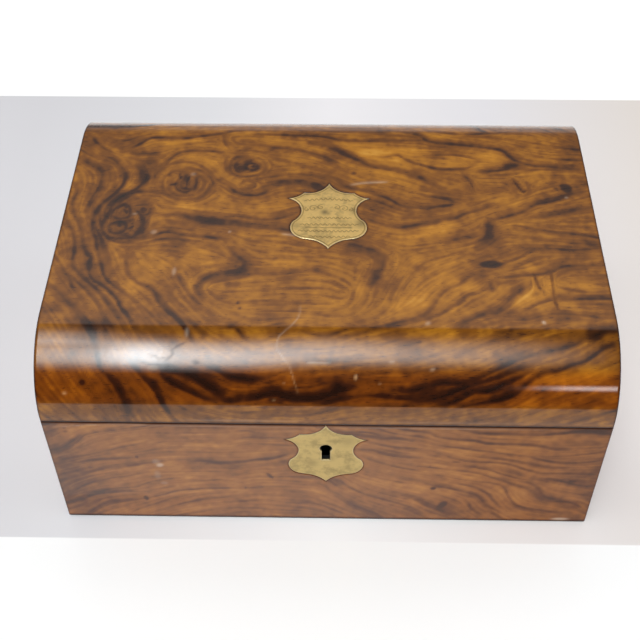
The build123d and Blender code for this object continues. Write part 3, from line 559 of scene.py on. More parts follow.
LID_CLOUDS = [
    # paler, amber wood
    (-130, 195, 14, 6, 0.12, -50), (-108, 215, 16, 5, 0.1), (-104, 200, 14, 6, 0.12),
    (-76, 204, 16, 5, 0.12), (-82, 190, 12, 6, 0.12, -10), (-68, 182, 5, 9, 0.1, 30),
    (-80, 146, 22, 5, 0.14), (-117, 164, 5, 7, 0.15, -30), (-141, 138, 5, 22, 0.12, 8),
    (-99, 97, 11, 12, 0.16), (-96, 137, 10, 8, 0.06), (-48, 215, 14, 4, 0.1),
    (-25, 207, 14, 4, 0.08, -15), (25, 197, 14, 6, 0.2, -5), (10, 205, 8, 4, 0.12),
    (28, 176, 7, 5, 0.08), (-35, 148, 14, 7, 0.1), (-25, 122, 14, 3, 0.08),
    (45, 126, 10, 5, 0.14), (60, 128, 12, 5, 0.15, 15), (66, 134, 9, 3, 0.12, 15),
    (72, 189, 14, 5, 0.16), (97, 192, 8, 8, 0.16, -40), (65, 214, 6, 3, 0.14),
    (50, 196, 10, 4, 0.1), (120, 179, 16, 5, 0.1), (105, 153, 8, 8, 0.12),
    (130, 150, 16, 4, 0.14, 20), (112, 137, 14, 4, 0.1, 5), (35, 115, 7, 5, 0.1),
    (18, 82, 8, 10, 0.12), (33, 75, 8, 8, 0.1), (48, 75, 7, 8, 0.18), (58, 106, 12, 10, 0.08),
    (63, 92, 9, 9, 0.12), (75, 84, 8, 5, 0.14, 20), (73, 66, 9, 6, 0.12, 35),
    (90, 78, 10, 7, 0.05), (108, 77, 8, 6, 0.12, 20), (125, 88, 8, 5, 0.1), (141, 87, 5, 5, 0.2),
    (60, 53, 14, 5, 0.12), (120, 29, 14, 4, 0.22), (140, 33, 10, 4, 0.16), (-125, 30, 14, 4, 0.1),
    (-35, 33, 10, 3, 0.12), (-64, 84, 6, 3, 0.1), (-75, 108, 10, 8, 0.06),
    # darker and greyer wood
    (0, 24, 300, 9, -0.12), (-146, 212, 10, 12, -0.1), (-147, 178, 8, 8, -0.08),
    (-110, 183, 8, 14, -0.1), (-116, 137, 14, 16, -0.14), (-85, 167, 13, 12, -0.07),
    (-52, 182, 12, 8, -0.07), (-70, 137, 18, 4, -0.14, -8), (-22, 168, 16, 5, -0.12),
    (-8, 163, 6, 4, -0.2), (8, 164, 7, 5, -0.12), (26, 150, 7, 14, -0.08),
    (40, 155, 14, 8, -0.08), (72, 158, 16, 8, -0.12), (90, 130, 4.5, 9, -0.14),
    (135, 176, 6, 8, -0.12), (148, 205, 6, 20, -0.1), (130, 224, 25, 3, -0.1),
    (26, 92, 4, 14, -0.12, -15), (25, 115, 10, 5, -0.1, -30), (-52, 102, 8, 8, -0.14),
    (118, 116, 12, 5, -0.08), (145, 120, 10, 12, -0.1), (101, 86, 4, 6, -0.12, 30),
    (125, 62, 5, 4, -0.12), (72, 55, 5, 7, -0.15), (95, 55, 10, 4, -0.1), (-118, 56, 9, 5, -0.24),
    (-106, 65, 4, 4, -0.16), (-146, 67, 5, 4, -0.12), (-84, 115, 5, 7, -0.1),
    (0, 85, 75, 28, 0.045), (0, 78, 42, 22, 0.03), (-20, 133, 26, 12, 0.06),
    (40, 182, 22, 18, 0.06), (-134, 178, 18, 34, -0.07), (-134, 125, 18, 22, -0.06),
    (-95, 101, 14, 9, -0.07), (-95, 68, 18, 8, 0.07), (142, 208, 14, 14, -0.06),
    (0, 54, 400, 6, -0.035), (-80, 9, 90, 8, -0.07), (75, 88, 22, 14, 0.04),
    (140, 54, 12, 6, -0.18), (-140, 226, 16, 5, -0.2), (40, 194, 36, 15, 0.05),
    # the first here is paler: a painted highlight, the soft spread of the lamp's streak on the
    # right of the curve
    (132, 23, 26, 7, 0.09), (20, 128, 22, 10, 0.03), (-15, 17, 30, 3, -0.2),
    (60, 20, 25, 5, -0.12, 10), (-43, 28, 10, 3, -0.15), (105, 168, 6, 5, -0.12),
    (-145, 112, 4, 8, -0.12),
]
LID_SPOTS = [
    (90.3, 102.6, 6.9, 2.9, -0.42), (138.6, 166.5, 3.4, 4, -0.36, 20),
    (132.8, 165.6, 1.6, 1.2, -0.25), (14.4, 177.8, 1.6, 1.2, -0.25), (-47.6, 72, 0.7, 1.2, -0.3),
    (-46.2, 68, 0.7, 1, -0.35), (-127, 25, 1.6, 1.6, -0.2), (-45.6, 183.2, 1.5, 1.2, -0.2),
    (-106.4, 144.6, 2.2, 2.2, -0.2), (-88.5, 174, 0.9, 3.2, -0.26, 12),
    (-83.5, 171.5, 0.8, 2.6, -0.24, -15), (-92, 166.5, 2.4, 0.9, -0.2, 20),
    (-84, 163, 2.6, 0.8, -0.2, -10), (-80, 176, 1.6, 0.8, -0.2, 30), (-95, 175, 1.2, 1.8, -0.18),
    (-119, 131.5, 1, 2.2, -0.24, 20), (-112.5, 129, 2.4, 0.8, -0.2, 40),
    (-117, 143, 1, 2.2, -0.2, 30), (-49.5, 181.4, 0.7, 1.6, -0.22, 20),
    (-54.6, 181, 1.4, 0.7, -0.2),
]
LID_MARKS = [
    (0.36, 0.42, -14.4, 70, -14.8, 64, -17.2, 58.7, -21.7, 54, -25, 50, -26, 44, -22.8, 39,
     -19, 34, -16.7, 26.4, -14.8, 20),
    (0.45, 0.7, -10, 36.3, -2, 36, 2, 36),
    (0.8, 0.45, 12.8, 167.2, 20.6, 169, 34, 170),
    (0.8, 0.4, -26, 125, -19, 124),
]
LID_FLECKS = [
    (113.8, 60.3, 0.8, 1.3, 1, 30), (15.5, 29.2, 0.8, 1.4, 0.9), (-136.8, 18.7, 1.2, 0.8, 0.7),
    (-27.2, 16.1, 0.6, 0.6, 0.6), (55.2, 33.7, 1.4, 0.8, 0.5, 20), (34, 37.3, 1.6, 0.7, 0.4),
    (-84, 95, 1, 3, 0.4), (-98.7, 126, 1.8, 1.6, 0.35, 30), (-55.9, 126.7, 0.9, 0.7, 0.5),
    (-81, 176, 1.6, 1.6, 0.25), (-111.4, 141, 1.4, 0.8, 0.35), (137.8, 157.8, 1, 0.8, 0.4),
    (-73, 52, 1, 3, 0.35), (-90, 33, 3, 1.6, 0.3), (28, 26, 0.7, 0.5, 0.4),
    (-22, 25.5, 0.6, 0.5, 0.4), (53, 59, 1.6, 1.2, 0.4, 30), (-45, 1.6, 30, 0.7, 0.2),
    (70, 1.7, 50, 0.6, 0.1),
]
# Where the polish has chipped off or dirt sits in a crack
LID_CHIPS = [
    (0.55, 0.5, -73, 47, -76, 45.5, -80.6, 42.5, -80, 40.5, -82.6, 38, -84, 36.5),
    (0.45, 0.45, -83.5, 38.6, -87, 38.2, -89, 39.4, -92.5, 40),
    (1.3, 0.5, -68.3, 35.8, -66.8, 35.5),
    (0.5, 0.35, -98, 36, -90, 34.5, -80, 34.2),
    (0.4, 0.45, 111.7, 96, 113, 89, 114.6, 83),
    (0.4, 0.45, 121.7, 97, 121, 80, 122.2, 69.8),
    (0.4, 0.4, 107.8, 174.4, 111, 165.6, 113.3, 162.2, 116.7, 164.4),
]
FRONT_STREAKS = [
    # the left, arching up to the right
    (0.9, 0.32, -140, 70, -135, 75, -130, 80.8, -123, 83.6, -113, 85.8, -104, 88, -96, 89.7,
     -90, 92),
    (1.4, 0.16, -150, 56, -141, 59.7, -130, 63, -121, 66.3, -110, 70.8, -98, 74),
    (2, 0.22, -138, 44, -128, 48, -120, 50.8, -107.6, 53, -99.8, 55.2, -90, 57),
    (1.4, 0.18, -138, 55, -130, 57.4, -118, 59, -108, 60),
    (1.1, 0.18, -150, 22, -145, 26.3, -140, 30.8, -132, 36.3, -123, 39.7, -110, 43, -99.8, 46.3),
    (1.1, 0.2, -140, 24, -131, 26.3, -121, 29.7, -110, 30.8, -100, 36.3, -90, 39.7, -80, 41),
    (1.1, 0.2, -150, 13, -143, 16.3, -135, 22, -126, 24.7, -115, 26.3, -105, 26.3, -96, 29.7,
     -86, 33),
    (1.1, 0.3, -103, 19.5, -99.8, 21.3, -93, 24, -86.4, 27.4, -80, 29, -70, 30.2, -60, 31,
     -48, 32),
    (1, 0.16, -97, 71, -90, 75.2, -81, 75.8, -70, 76.3, -50, 76.3),
    (1.8, 0.24, -76, 57.4, -67.6, 58, -60, 56.3, -50, 57, -44, 58, -39, 59.7, -31, 60.8,
     -24, 63.6, -19, 67),
    (1, 0.16, -80, 37.4, -70, 38.6, -60, 39.7, -48, 37.4, -40, 39.7, -28, 39.7, -13, 38.6,
     -3, 38.6),
    (1, 0.18, -90, 12, -80, 16.3, -70, 20.8, -60, 22, -50, 24),
    (1, 0.16, -115, 4, -107.6, 9.7, -99.8, 14, -90, 19.7, -80, 23),
    (1, 0.14, -140, 4, -133, 10.8, -125, 16.3, -112, 19),
    (0.9, 0.14, -90, 66, -75, 66.5, -60, 66, -45, 66.5),
    (0.9, 0.14, -96, 46, -84, 47, -70, 47.5, -56, 48),
    (0.9, 0.14, -96, 83, -80, 84, -64, 84.5, -50, 85),
    # the middle
    (1, 0.18, -50, 85.2, -43, 86.3, -36.7, 84.7, -28, 84, -16.7, 84.7),
    (1, 0.16, -50, 78.6, -40, 80.8, -30, 80.8, -21, 80.8),
    (1, 0.16, -50, 72.4, -40, 74.7, -30, 74, -18, 73),
    (0.9, 0.14, -50, 45.2, -40, 48.5, -28, 48.5, -20, 50),
    (0.9, 0.14, -50, 17.4, -36.7, 19.7, -23, 17.4, -10, 16.3, 0, 15.2),
    (0.9, 0.14, -60, 9, -45, 11, -30, 9, -15, 8),
    (1.3, 0.28, 2, 89.7, 10, 86.5, 19, 86.3, 25.6, 85.2, 31, 81.3, 39, 80.8, 46.7, 78.6),
    (1.8, 0.34, 20, 93, 30, 91.9, 39, 89.7, 45.6, 88, 55, 86.5, 60, 83, 70, 80.8, 80, 79.7,
     87, 77.4, 94, 77, 101, 77, 110, 76.3, 116.7, 75.2, 123, 73, 132, 72.4),
    (1.2, 0.2, 20, 90.8, 28, 89.7, 34.4, 86.3, 43, 84, 52, 83, 57, 80),
    (1.2, 0.18, 21, 78.6, 30, 75.2, 39, 73, 52, 72),
    (1.2, 0.2, 18, 70.8, 25.6, 69.7, 32, 66.3, 41, 64, 52, 63),
    (1.2, 0.2, 21, 63, 29, 58.6, 36.7, 55.2, 44.4, 53, 52, 50.8),
    (1.2, 0.18, 21, 47.4, 28, 44, 36.7, 40.8, 45.6, 38.6),
    (1.4, 0.24, 8, 40.8, 11, 36.3, 16.7, 30.8, 23.3, 26.3, 32, 22, 42, 17.4, 50, 13, 56.7, 7.4),
    (1.2, 0.18, -1, 37.4, 2, 30.8, 8, 25.2, 12, 19.7, 19, 13, 28, 7.4, 32, 3),
    (1, 0.16, -5.6, 19.7, 0, 13, 10, 6.3),
    (1.2, 0.18, 17, 37, 24, 32, 34, 27, 44, 23, 50, 22, 55.6, 17.4, 62, 13, 70, 8.6),
    # the right, bending down in long waves
    (2.4, 0.34, 68, 91, 75.6, 88.6, 82, 87, 90, 86.3, 99, 86.3, 110, 85.8, 116.7, 86.3, 126, 88,
     138, 90, 150, 89),
    (1.4, 0.26, 56.7, 76.3, 64.4, 74, 72, 73, 80, 71.3, 90, 69.7, 100, 67.4, 109, 66.3,
     116.7, 63.6, 125.6, 60.8, 133, 59.7, 142, 60.8, 150, 62.4),
    (1.2, 0.26, 60, 67.4, 65.6, 65.2, 72, 62.4, 80, 60.2, 89, 59.7, 99, 59, 105.6, 56.3,
     110, 53.6, 116.7, 50.8),
    (1.2, 0.28, 50, 55.2, 60, 54, 70, 52, 80, 50.2, 88, 48, 94.4, 44.7, 100, 43),
    (1.2, 0.24, 76.7, 56.3, 83, 54.7, 91, 52.4, 98, 48.6, 104.4, 45.8, 109, 44, 115.6, 43),
    (1.4, 0.32, 60, 47.4, 68, 45.2, 75.6, 43, 84.4, 40.8, 92, 39.7, 99, 37.4, 102, 33, 104, 27.4,
     106.7, 22, 110, 17.4, 116.7, 14, 125.6, 12, 134, 10.2, 142, 9.7),
    (1.4, 0.3, 70, 39.7, 78, 37.4, 84.4, 35.2, 90, 30.8, 93.3, 27.4, 95.6, 23, 97.8, 19.7,
     101, 14),
    (1.3, 0.26, 56.7, 37.4, 63, 35.2, 72, 33, 80, 29.7, 85.6, 27.4, 89, 23, 91, 18.6, 94.4, 15.2,
     100, 10.8),
    (2.2, 0.3, 109, 42.5, 115.6, 39.7, 119, 36.3, 121.7, 32, 124.4, 27.4, 129, 24.7, 134.4, 24),
    (1.6, 0.2, 121, 45.2, 128, 44, 134.4, 42, 142, 38.6, 150, 37.4),
    (1.4, 0.18, 122, 49, 128, 49.7, 138, 50, 150, 49.7),
    (1.2, 0.18, 132, 22, 142, 20.8, 148, 15.2),
    (1.2, 0.2, 72, 27.4, 78, 24, 82, 19.7, 84.4, 13, 90, 7.4),
    (1, 0.16, 122, 66, 134, 67, 150, 70),
    (0.9, 0.14, -20, 93, -8, 91.6, -3, 88),
]
FRONT_CLOUDS = [
    (-128, 89, 22, 4, 0.14, 8), (-50, 27, 6, 8, 0.1), (-72, 10, 14, 5, 0.1, 10),
    (-122, 33, 12, 5, 0.08, 15), (-75, 46, 14, 5, 0.06), (28, 43, 12, 6, 0.12, -20),
    (40, 76, 14, 4, 0.1, -8), (27, 89, 6, 2.5, 0.1), (75, 67, 8, 4, 0.14),
    (76, 47, 16, 6, 0.14, -15), (60, 52, 8, 8, 0.06), (95, 72, 14, 4, 0.1, -8),
    (110, 81, 16, 4, 0.1), (112, 30, 7, 10, 0.14), (125, 16, 14, 5, 0.12, -10),
    (142, 26, 5, 6, 0.08), (97, 33, 4, 8, 0.12, 20), (70, 22, 8, 6, 0.04), (95, 52, 6, 5, 0.1),
    (-145, 68, 7, 5, -0.12), (-115, 16, 10, 6, -0.12), (-151, 50, 17, 50, -0.22),
    (-116, 56, 18, 5, -0.08, 10), (-62, 57, 14, 3, -0.12), (-24, 61, 3, 4, -0.15),
    (7, 39, 6, 5, -0.14), (28, 20, 14, 8, -0.12, -30), (143, 90, 12, 4, -0.16),
    (150, 50, 12, 50, -0.16), (136, 16, 20, 24, -0.16), (0, 12, 44, 9, -0.15),
    (-135, 28, 22, 28, -0.16), (-57, 75, 18, 14, 0.05), (95, 18, 26, 16, -0.06),
    (140, 44, 12, 6, -0.1), (128, 61, 14, 4, -0.08), (65, 8, 14, 5, -0.08),
]
FRONT_SPOTS = [
    (-104.5, 61.3, 0.9, 1, -0.6), (-104.2, 20.2, 1.2, 2.2, -0.6, 10),
    (-31.4, 44.4, 1, 3.4, -0.4, 32), (-140.3, 84, 1.2, 0.7, -0.25), (-140.3, 87, 1, 0.6, -0.25),
    (-45.6, 32, 0.5, 1.2, -0.3), (61, 33.8, 1.6, 1.5, -0.7, 20), (67.5, 17, 2.2, 4.2, -0.45, -28),
    (138.5, 42.7, 2, 0.8, -0.6), (71.7, 60.4, 2.6, 0.5, -0.4, -5), (57.8, 55.8, 0.5, 0.5, -0.4),
    # the last is painted shade, a dark line along the front's foot where it meets the table
    (-148, 92, 5, 3, -0.2), (0, BASE_LOW, 400, 1.6, -0.25),
]
FRONT_MARKS = [
    (0.3, 0.3, -146, 88, -120, 90.5, -96, 91),
]
FRONT_CHIPS = [
    (0.4, 0.6, -141.5, 83.6, -139, 84.4),
    (0.4, 0.5, -141, 86.8, -139.4, 87.4),
    (0.5, 0.6, 60, 33.2, 62, 34.6),
    (0.45, 0.6, 137, 42.6, 140, 43),
]
FRONT_FLECKS = [
    (-92.6, 53.6, 2, 1.6, 0.75, 30), (-94.5, 57, 2.2, 2.4, 0.25), (-95, 44, 1.8, 4, 0.2),
    (137.5, 3.5, 5, 1.2, 0.8), (-92, 36, 2, 1.5, 0.2), (60, BASE_HIGH - 2.2, 60, 0.6, 0.2),
    (-60, BASE_HIGH - 2.4, 40, 0.6, 0.15),
]

# The figure's cell in mm, and how far a streak fades on its soft and on its crisp side, in
# half widths
CELL, SOFT, CRISP = 0.75, 1.45, 0.62
# How long, in cells, fibres and bands are smeared, and what they and the mottles weigh
FIBRE_RUN, BAND_RUN = 12, 45
FIBRES, BLOTCHES, MOTTLE = 0.045, 0.035, 0.03
BASE_TONE, DARKEST = 0.485, 0.06
# Painted shade, with grime, on a veneer at its seams, which on the front include its foot on the
# table, and round its plate, and a darkening along its side edges: its reach in mm and amount
SEAM_SHADE_AND_DIRT, SIDE_DARKENING, PLATE_SHADE_AND_DIRT = (1.1, 1.0), (0.75, 0.85), (0.7, 0.5)
# A plate in mm: how far it stands proud, how deep and how far in its edge is eased, how deep
# its lines are cut, the half widths of its border and of its engraving, and its foot
PLATE_PROUD, EASED, EASE_REACH, CUT = 0.12, 0.28, 0.28, 0.08
BORDER_LINE, ENGRAVED_LINE, PLATE_FOOT = 0.3, 0.26, -0.98
# How dark a plate's sides are painted, as painted shade where the plate meets the wood, where 1 is
# the dark of a cut line
SIDE_SHADE = 1.6
# A screw in mm: how far its head and its slot's floor stand proud. Then the head's top and
# the slot's half width, as shares of the head's radius
HEAD_PROUD, GROOVE, HEAD_TOP, SLOT_HALF = 0.15, 0.02, 0.93, 0.16


def through(points, step):
    """A smooth run through a few points, as points about a step apart, with tangents."""
    p = np.array(points, float).reshape(-1, 2)
    p = np.vstack([p[:1], p, p[-1:]])
    runs = []
    for a, b, c, d in zip(p, p[1:], p[2:], p[3:]):
        n = max(2, int(hypot(*(c - b)) / step))
        t = np.linspace(0, 1, n, endpoint=False)[:, None]
        runs.append(0.5 * (2 * b + (c - a) * t + (2 * a - 5 * b + 4 * c - d) * t**2
                           + (3 * b - a - 3 * c + d) * t**3))
    run = np.vstack([*runs, p[-1:]])
    way = np.gradient(run, axis=0)
    way /= np.maximum(np.linalg.norm(way, axis=1), 1e-9)[:, None]
    return run, way


def sample(field, across, up):
    """Reads a field at fractional cells."""
    i = np.clip(across, 0, field.shape[1] - 1.001)
    j = np.clip(up, 0, field.shape[0] - 1.001)
    i0, j0 = i.astype(int), j.astype(int)
    a, b = i - i0, j - j0
    low = field[j0, i0] * (1 - a) + field[j0, i0 + 1] * a
    high = field[j0 + 1, i0] * (1 - a) + field[j0 + 1, i0 + 1] * a
    return low * (1 - b) + high * b


def blur(field, reach):
    """Softens a field by a box of a few cells, three times over."""
    for _ in range(3):
        for axis in (0, 1):
            total = np.zeros_like(field)
            for k in range(-reach, reach + 1):
                total += np.roll(field, k, axis)
            field = total / (2 * reach + 1)
    return field


def spread(field):
    """Brings a field to a mean of 0 and a spread of 1."""
    return (field - field.mean()) / max(field.std(), 1e-9)


def bell(gap, reach, amount=1.0):
    """An amount where there is no gap, dying away over a reach."""
    return amount * np.exp(-((gap / reach) ** 2))


class Figure:
    """A veneer's tone over a flat sheet from streaks, clouds and fibres along them.

    lines is how dark the bands between the streaks are, depth and width scale the streaks."""

    def __init__(self, end, drawn, seed, lines, depth, width=1.0):
        streaks, clouds, spots, marks, flecks, chips = drawn
        self.x0, self.s0 = -180, -20
        self.wide = int(-2 * self.x0 / CELL) + 2
        self.high = int((end - 2 * self.s0) / CELL) + 2
        self.random = np.random.RandomState(seed)
        runs = self.runs(streaks, 0.7, width)
        self.turn = self.flow(runs)
        fibres = spread(self.along(self.grain(0), FIBRE_RUN))
        bands = spread(self.along(self.grain(1), BAND_RUN))
        tone = BASE_TONE + FIBRES * fibres + BLOTCHES * self.grain(5) + MOTTLE * self.grain(1)
        tone = tone + lines * (0.5 * bands - 1.5 * np.maximum(bands - 0.4, 0) + 0.3)
        patchy = 0.72 + 0.22 * np.tanh(self.grain(3)) + 0.18 * np.tanh(fibres)
        tone = tone - depth * self.draw(runs) * patchy
        self.tone = np.clip(tone + self.cloud(clouds) + self.cloud(spots, 3), DARKEST, 1.0)
        marks = self.draw(self.runs(marks, 0.5))
        self.bare = np.clip(0.6 * (marks + self.cloud(flecks, 2)), 0.0, 1.0)
        self.chips = self.draw(self.runs(chips, 0.5))

    def runs(self, streaks, step, width=1.0):
        """Each streak's half width, depth, points and tangents."""
        return [(w * width, depth, *through(points, step)) for w, depth, *points in streaks]

    def grain(self, reach):
        """Random noise, softened and spread unless its reach is 0."""
        noise = self.random.rand(self.high, self.wide)
        return spread(blur(noise, reach)) if reach else noise

    def cells(self):
        return np.meshgrid(np.arange(self.wide) * 1.0, np.arange(self.high) * 1.0)

    def flow(self, runs):
        """The fibres' direction, as cosine and sine, led by the streaks near each place."""
        step = 4
        xs = self.x0 + np.arange(0, self.wide + step, step) * CELL
        ss = self.s0 + np.arange(0, self.high + step, step) * CELL
        total = np.zeros((len(ss), len(xs), 2)) + (2e-5, 0)
        for _, _, run, way in runs:
            for (px, ps), (tx, ts) in zip(run[::4], way[::4]):
                near = (xs[None, :] - px) ** 2 + (ss[:, None] - ps) ** 2 + 9
                weight = near**-1.6
                total[..., 0] += weight * (tx * tx - ts * ts)
                total[..., 1] += weight * 2 * tx * ts
        i, j = (cells / step for cells in self.cells())
        double = np.arctan2(sample(total[..., 1], i, j), sample(total[..., 0], i, j))
        return np.cos(double / 2), np.sin(double / 2)

    def along(self, noise, reach):
        """Smears noise along the fibres for a number of cells each way."""
        total = noise.copy()
        for sense in (1, -1):
            i, j = self.cells()
            ux, us = sense * self.turn[0], sense * self.turn[1]
            for _ in range(reach):
                i, j = i + ux, j + us
                total += sample(noise, i, j)
                nx, ns = sample(self.turn[0], i, j), sample(self.turn[1], i, j)
                same = np.where(nx * ux + ns * us < 0, -1, 1)
                ux, us = nx * same, ns * same
        return total

    def draw(self, runs):
        """Stamps each streak: crisp on its right-hand side, fading on its left."""
        field = np.zeros((self.high, self.wide))
        for width, depth, run, way in runs:
            reach = int(4 * width / CELL) + 2
            n = len(run)
            for k, ((x, s), (tx, ts)) in enumerate(zip(run, way)):
                taper = min(1.0, k / (0.12 * n + 1), (n - 1 - k) / (0.12 * n + 1))
                ci, cj = int((x - self.x0) / CELL), int((s - self.s0) / CELL)
                i0, i1 = max(ci - reach, 0), min(ci + reach + 1, self.wide)
                j0, j1 = max(cj - reach, 0), min(cj + reach + 1, self.high)
                if i0 >= i1 or j0 >= j1:
                    continue
                dx = self.x0 + np.arange(i0, i1)[None, :] * CELL - x
                ds = self.s0 + np.arange(j0, j1)[:, None] * CELL - s
                w = np.where(tx * ds - ts * dx > 0, width * SOFT, width * CRISP)
                stamp = depth * (0.35 + 0.65 * taper) * np.exp(-(dx * dx + ds * ds) / w**2)
                part = field[j0:j1, i0:i1]
                np.maximum(part, stamp, out=part)
        return field

    def cloud(self, clouds, crisp=1):
        """Patches of darker or paler wood, soft or with a crisper edge."""
        total = np.zeros((self.high, self.wide))
        xs = self.x0 + np.arange(self.wide)[None, :] * CELL
        ss = self.s0 + np.arange(self.high)[:, None] * CELL
        for cloud in clouds:
            x, s, a, b, amount, turn = (*cloud, 0)[:6]
            c, d = cos(radians(turn)), sin(radians(turn))
            u = ((xs - x) * c + (ss - s) * d) / a
            v = ((ss - s) * c - (xs - x) * d) / b
            total += amount * np.exp(-((u * u + v * v) ** crisp))
        return total

    def at(self, field, x, s):
        return sample(field, (x - self.x0) / CELL, (s - self.s0) / CELL)


# Meshes


def new_object(name, vertices, faces, body, mat, smooth=True):
    """A piece of one body from vertices in mm. Points that no face uses are dropped."""
    mesh = bpy.data.meshes.new(name)
    mesh.from_pydata([tuple(c * MM for c in v) for v in vertices], [], faces)
    mesh.validate()
    shape = bmesh.new()
    shape.from_mesh(mesh)
    bmesh.ops.recalc_face_normals(shape, faces=shape.faces)
    loose = [vert for vert in shape.verts if not vert.link_faces]
    bmesh.ops.delete(shape, geom=loose, context="VERTS")
    shape.to_mesh(mesh)
    shape.free()
    mesh.materials.append(mat)
    for polygon in mesh.polygons:
        polygon.use_smooth = smooth
    made = bpy.data.objects.new(name, mesh)
    bpy.context.scene.collection.objects.link(made)
    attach(made, body)
    return made


def write_attributes(obj, **fields):
    for name, values in fields.items():
        found = obj.data.attributes.new(name, "FLOAT", "POINT")
        found.data.foreach_set("value", np.asarray(values, np.float32))


def loops_of(node, axis, level):
    """A CAD node's outlines, in mm, on the plane where one coordinate has a level."""
    mesh = nodes[node].data
    flat = [i for i in range(3) if i != axis]
    at = [tuple(round(v.co[i] / MM, 3) for i in flat) for v in mesh.vertices]
    edges = {}
    for polygon in mesh.polygons:
        if all(abs(mesh.vertices[i].co[axis] / MM - level) < 0.01 for i in polygon.vertices):
            ring = [at[i] for i in polygon.vertices]
            edges.update(dict.fromkeys(zip(ring, ring[1:] + ring[:1])))
    border = {a: b for a, b in edges if (b, a) not in edges}
    loops = []
    while border:
        start, here = next(iter(border.items()))
        ring = [start]
        del border[start]
        while here != start and here in border:
            ring.append(here)
            here = border.pop(here)
        loops.append(np.array(ring))
    return sorted(loops, key=lambda ring: -np.ptp(ring[:, 0]))


def refine(loop, step):
    """The same outline with no side longer than a step."""
    points = []
    for a, b in zip(loop, np.roll(loop, -1, 0)):
        n = max(1, int(np.ceil(hypot(*(b - a)) / step)))
        points += [a + (b - a) * k / n for k in range(n)]
    return np.array(points)


def distance(points, loops):
    """How far each point is from the nearest outline."""
    best = np.full(len(points), 1e9)
    for loop in loops:
        for start, step in zip(loop, np.roll(loop, -1, 0) - loop):
            along = np.clip((points - start) @ step / max(step @ step, 1e-12), 0, 1)
            gap = np.linalg.norm(points - start - along[:, None] * step, axis=1)
            best = np.minimum(best, gap)
    return best


def inside(points, loop):
    """Whether each point is inside an outline."""
    x, y = points[:, 0], points[:, 1]
    odd = np.zeros(len(points), bool)
    for (ax, ay), (bx, by) in zip(loop, np.roll(loop, -1, 0)):
        crosses = (ay > y) != (by > y)
        slope = (bx - ax) / np.where(by == ay, 1e-12, by - ay)
        odd ^= crosses & (x < ax + (y - ay) * slope)
    return odd


def tile(free, loops, keep):
    """Triangles over free points and outlines, where keep says yes at their middles.

    Also gives where each point that went in, the free ones first, has come out."""
    points, edges = list(free), []
    for loop in loops:
        first, n = len(points), len(loop)
        points += list(loop)
        edges += [(first + k, first + (k + 1) % n) for k in range(n)]
    made = delaunay_2d_cdt([Vector(p) for p in points], edges, [], 0, 1e-7)
    verts = np.array([tuple(v) for v in made[0]])
    middles = np.array([verts[list(f)].mean(0) for f in made[2]])
    faces = [f for f, good in zip(made[2], keep(middles)) if good]
    came = {old: new for new, olds in enumerate(made[3]) for old in olds}
    return verts, faces, came


def walls(ring, floor):
    """The faces between a ring of points and the same ring further down."""
    n = len(ring)
    return [(ring[k], floor[k], floor[(k + 1) % n], ring[(k + 1) % n]) for k in range(n)]


def edge_columns(low, high, step, radius):
    """Places across a sheet with both edges rounded over: place and sink below the face."""
    turns = [radians(a) for a in (30, 60, 90)]
    inner = np.linspace(low + radius, high - radius, int(round((high - low) / step)) + 1)
    rim = [(high - radius + radius * sin(t), radius * (1 - cos(t))) for t in turns]
    left = [(low + high - u, sink) for u, sink in reversed(rim)]
    return [(low, VENEER), *left, *((u, 0.0) for u in inner), *rim, (high, VENEER)]


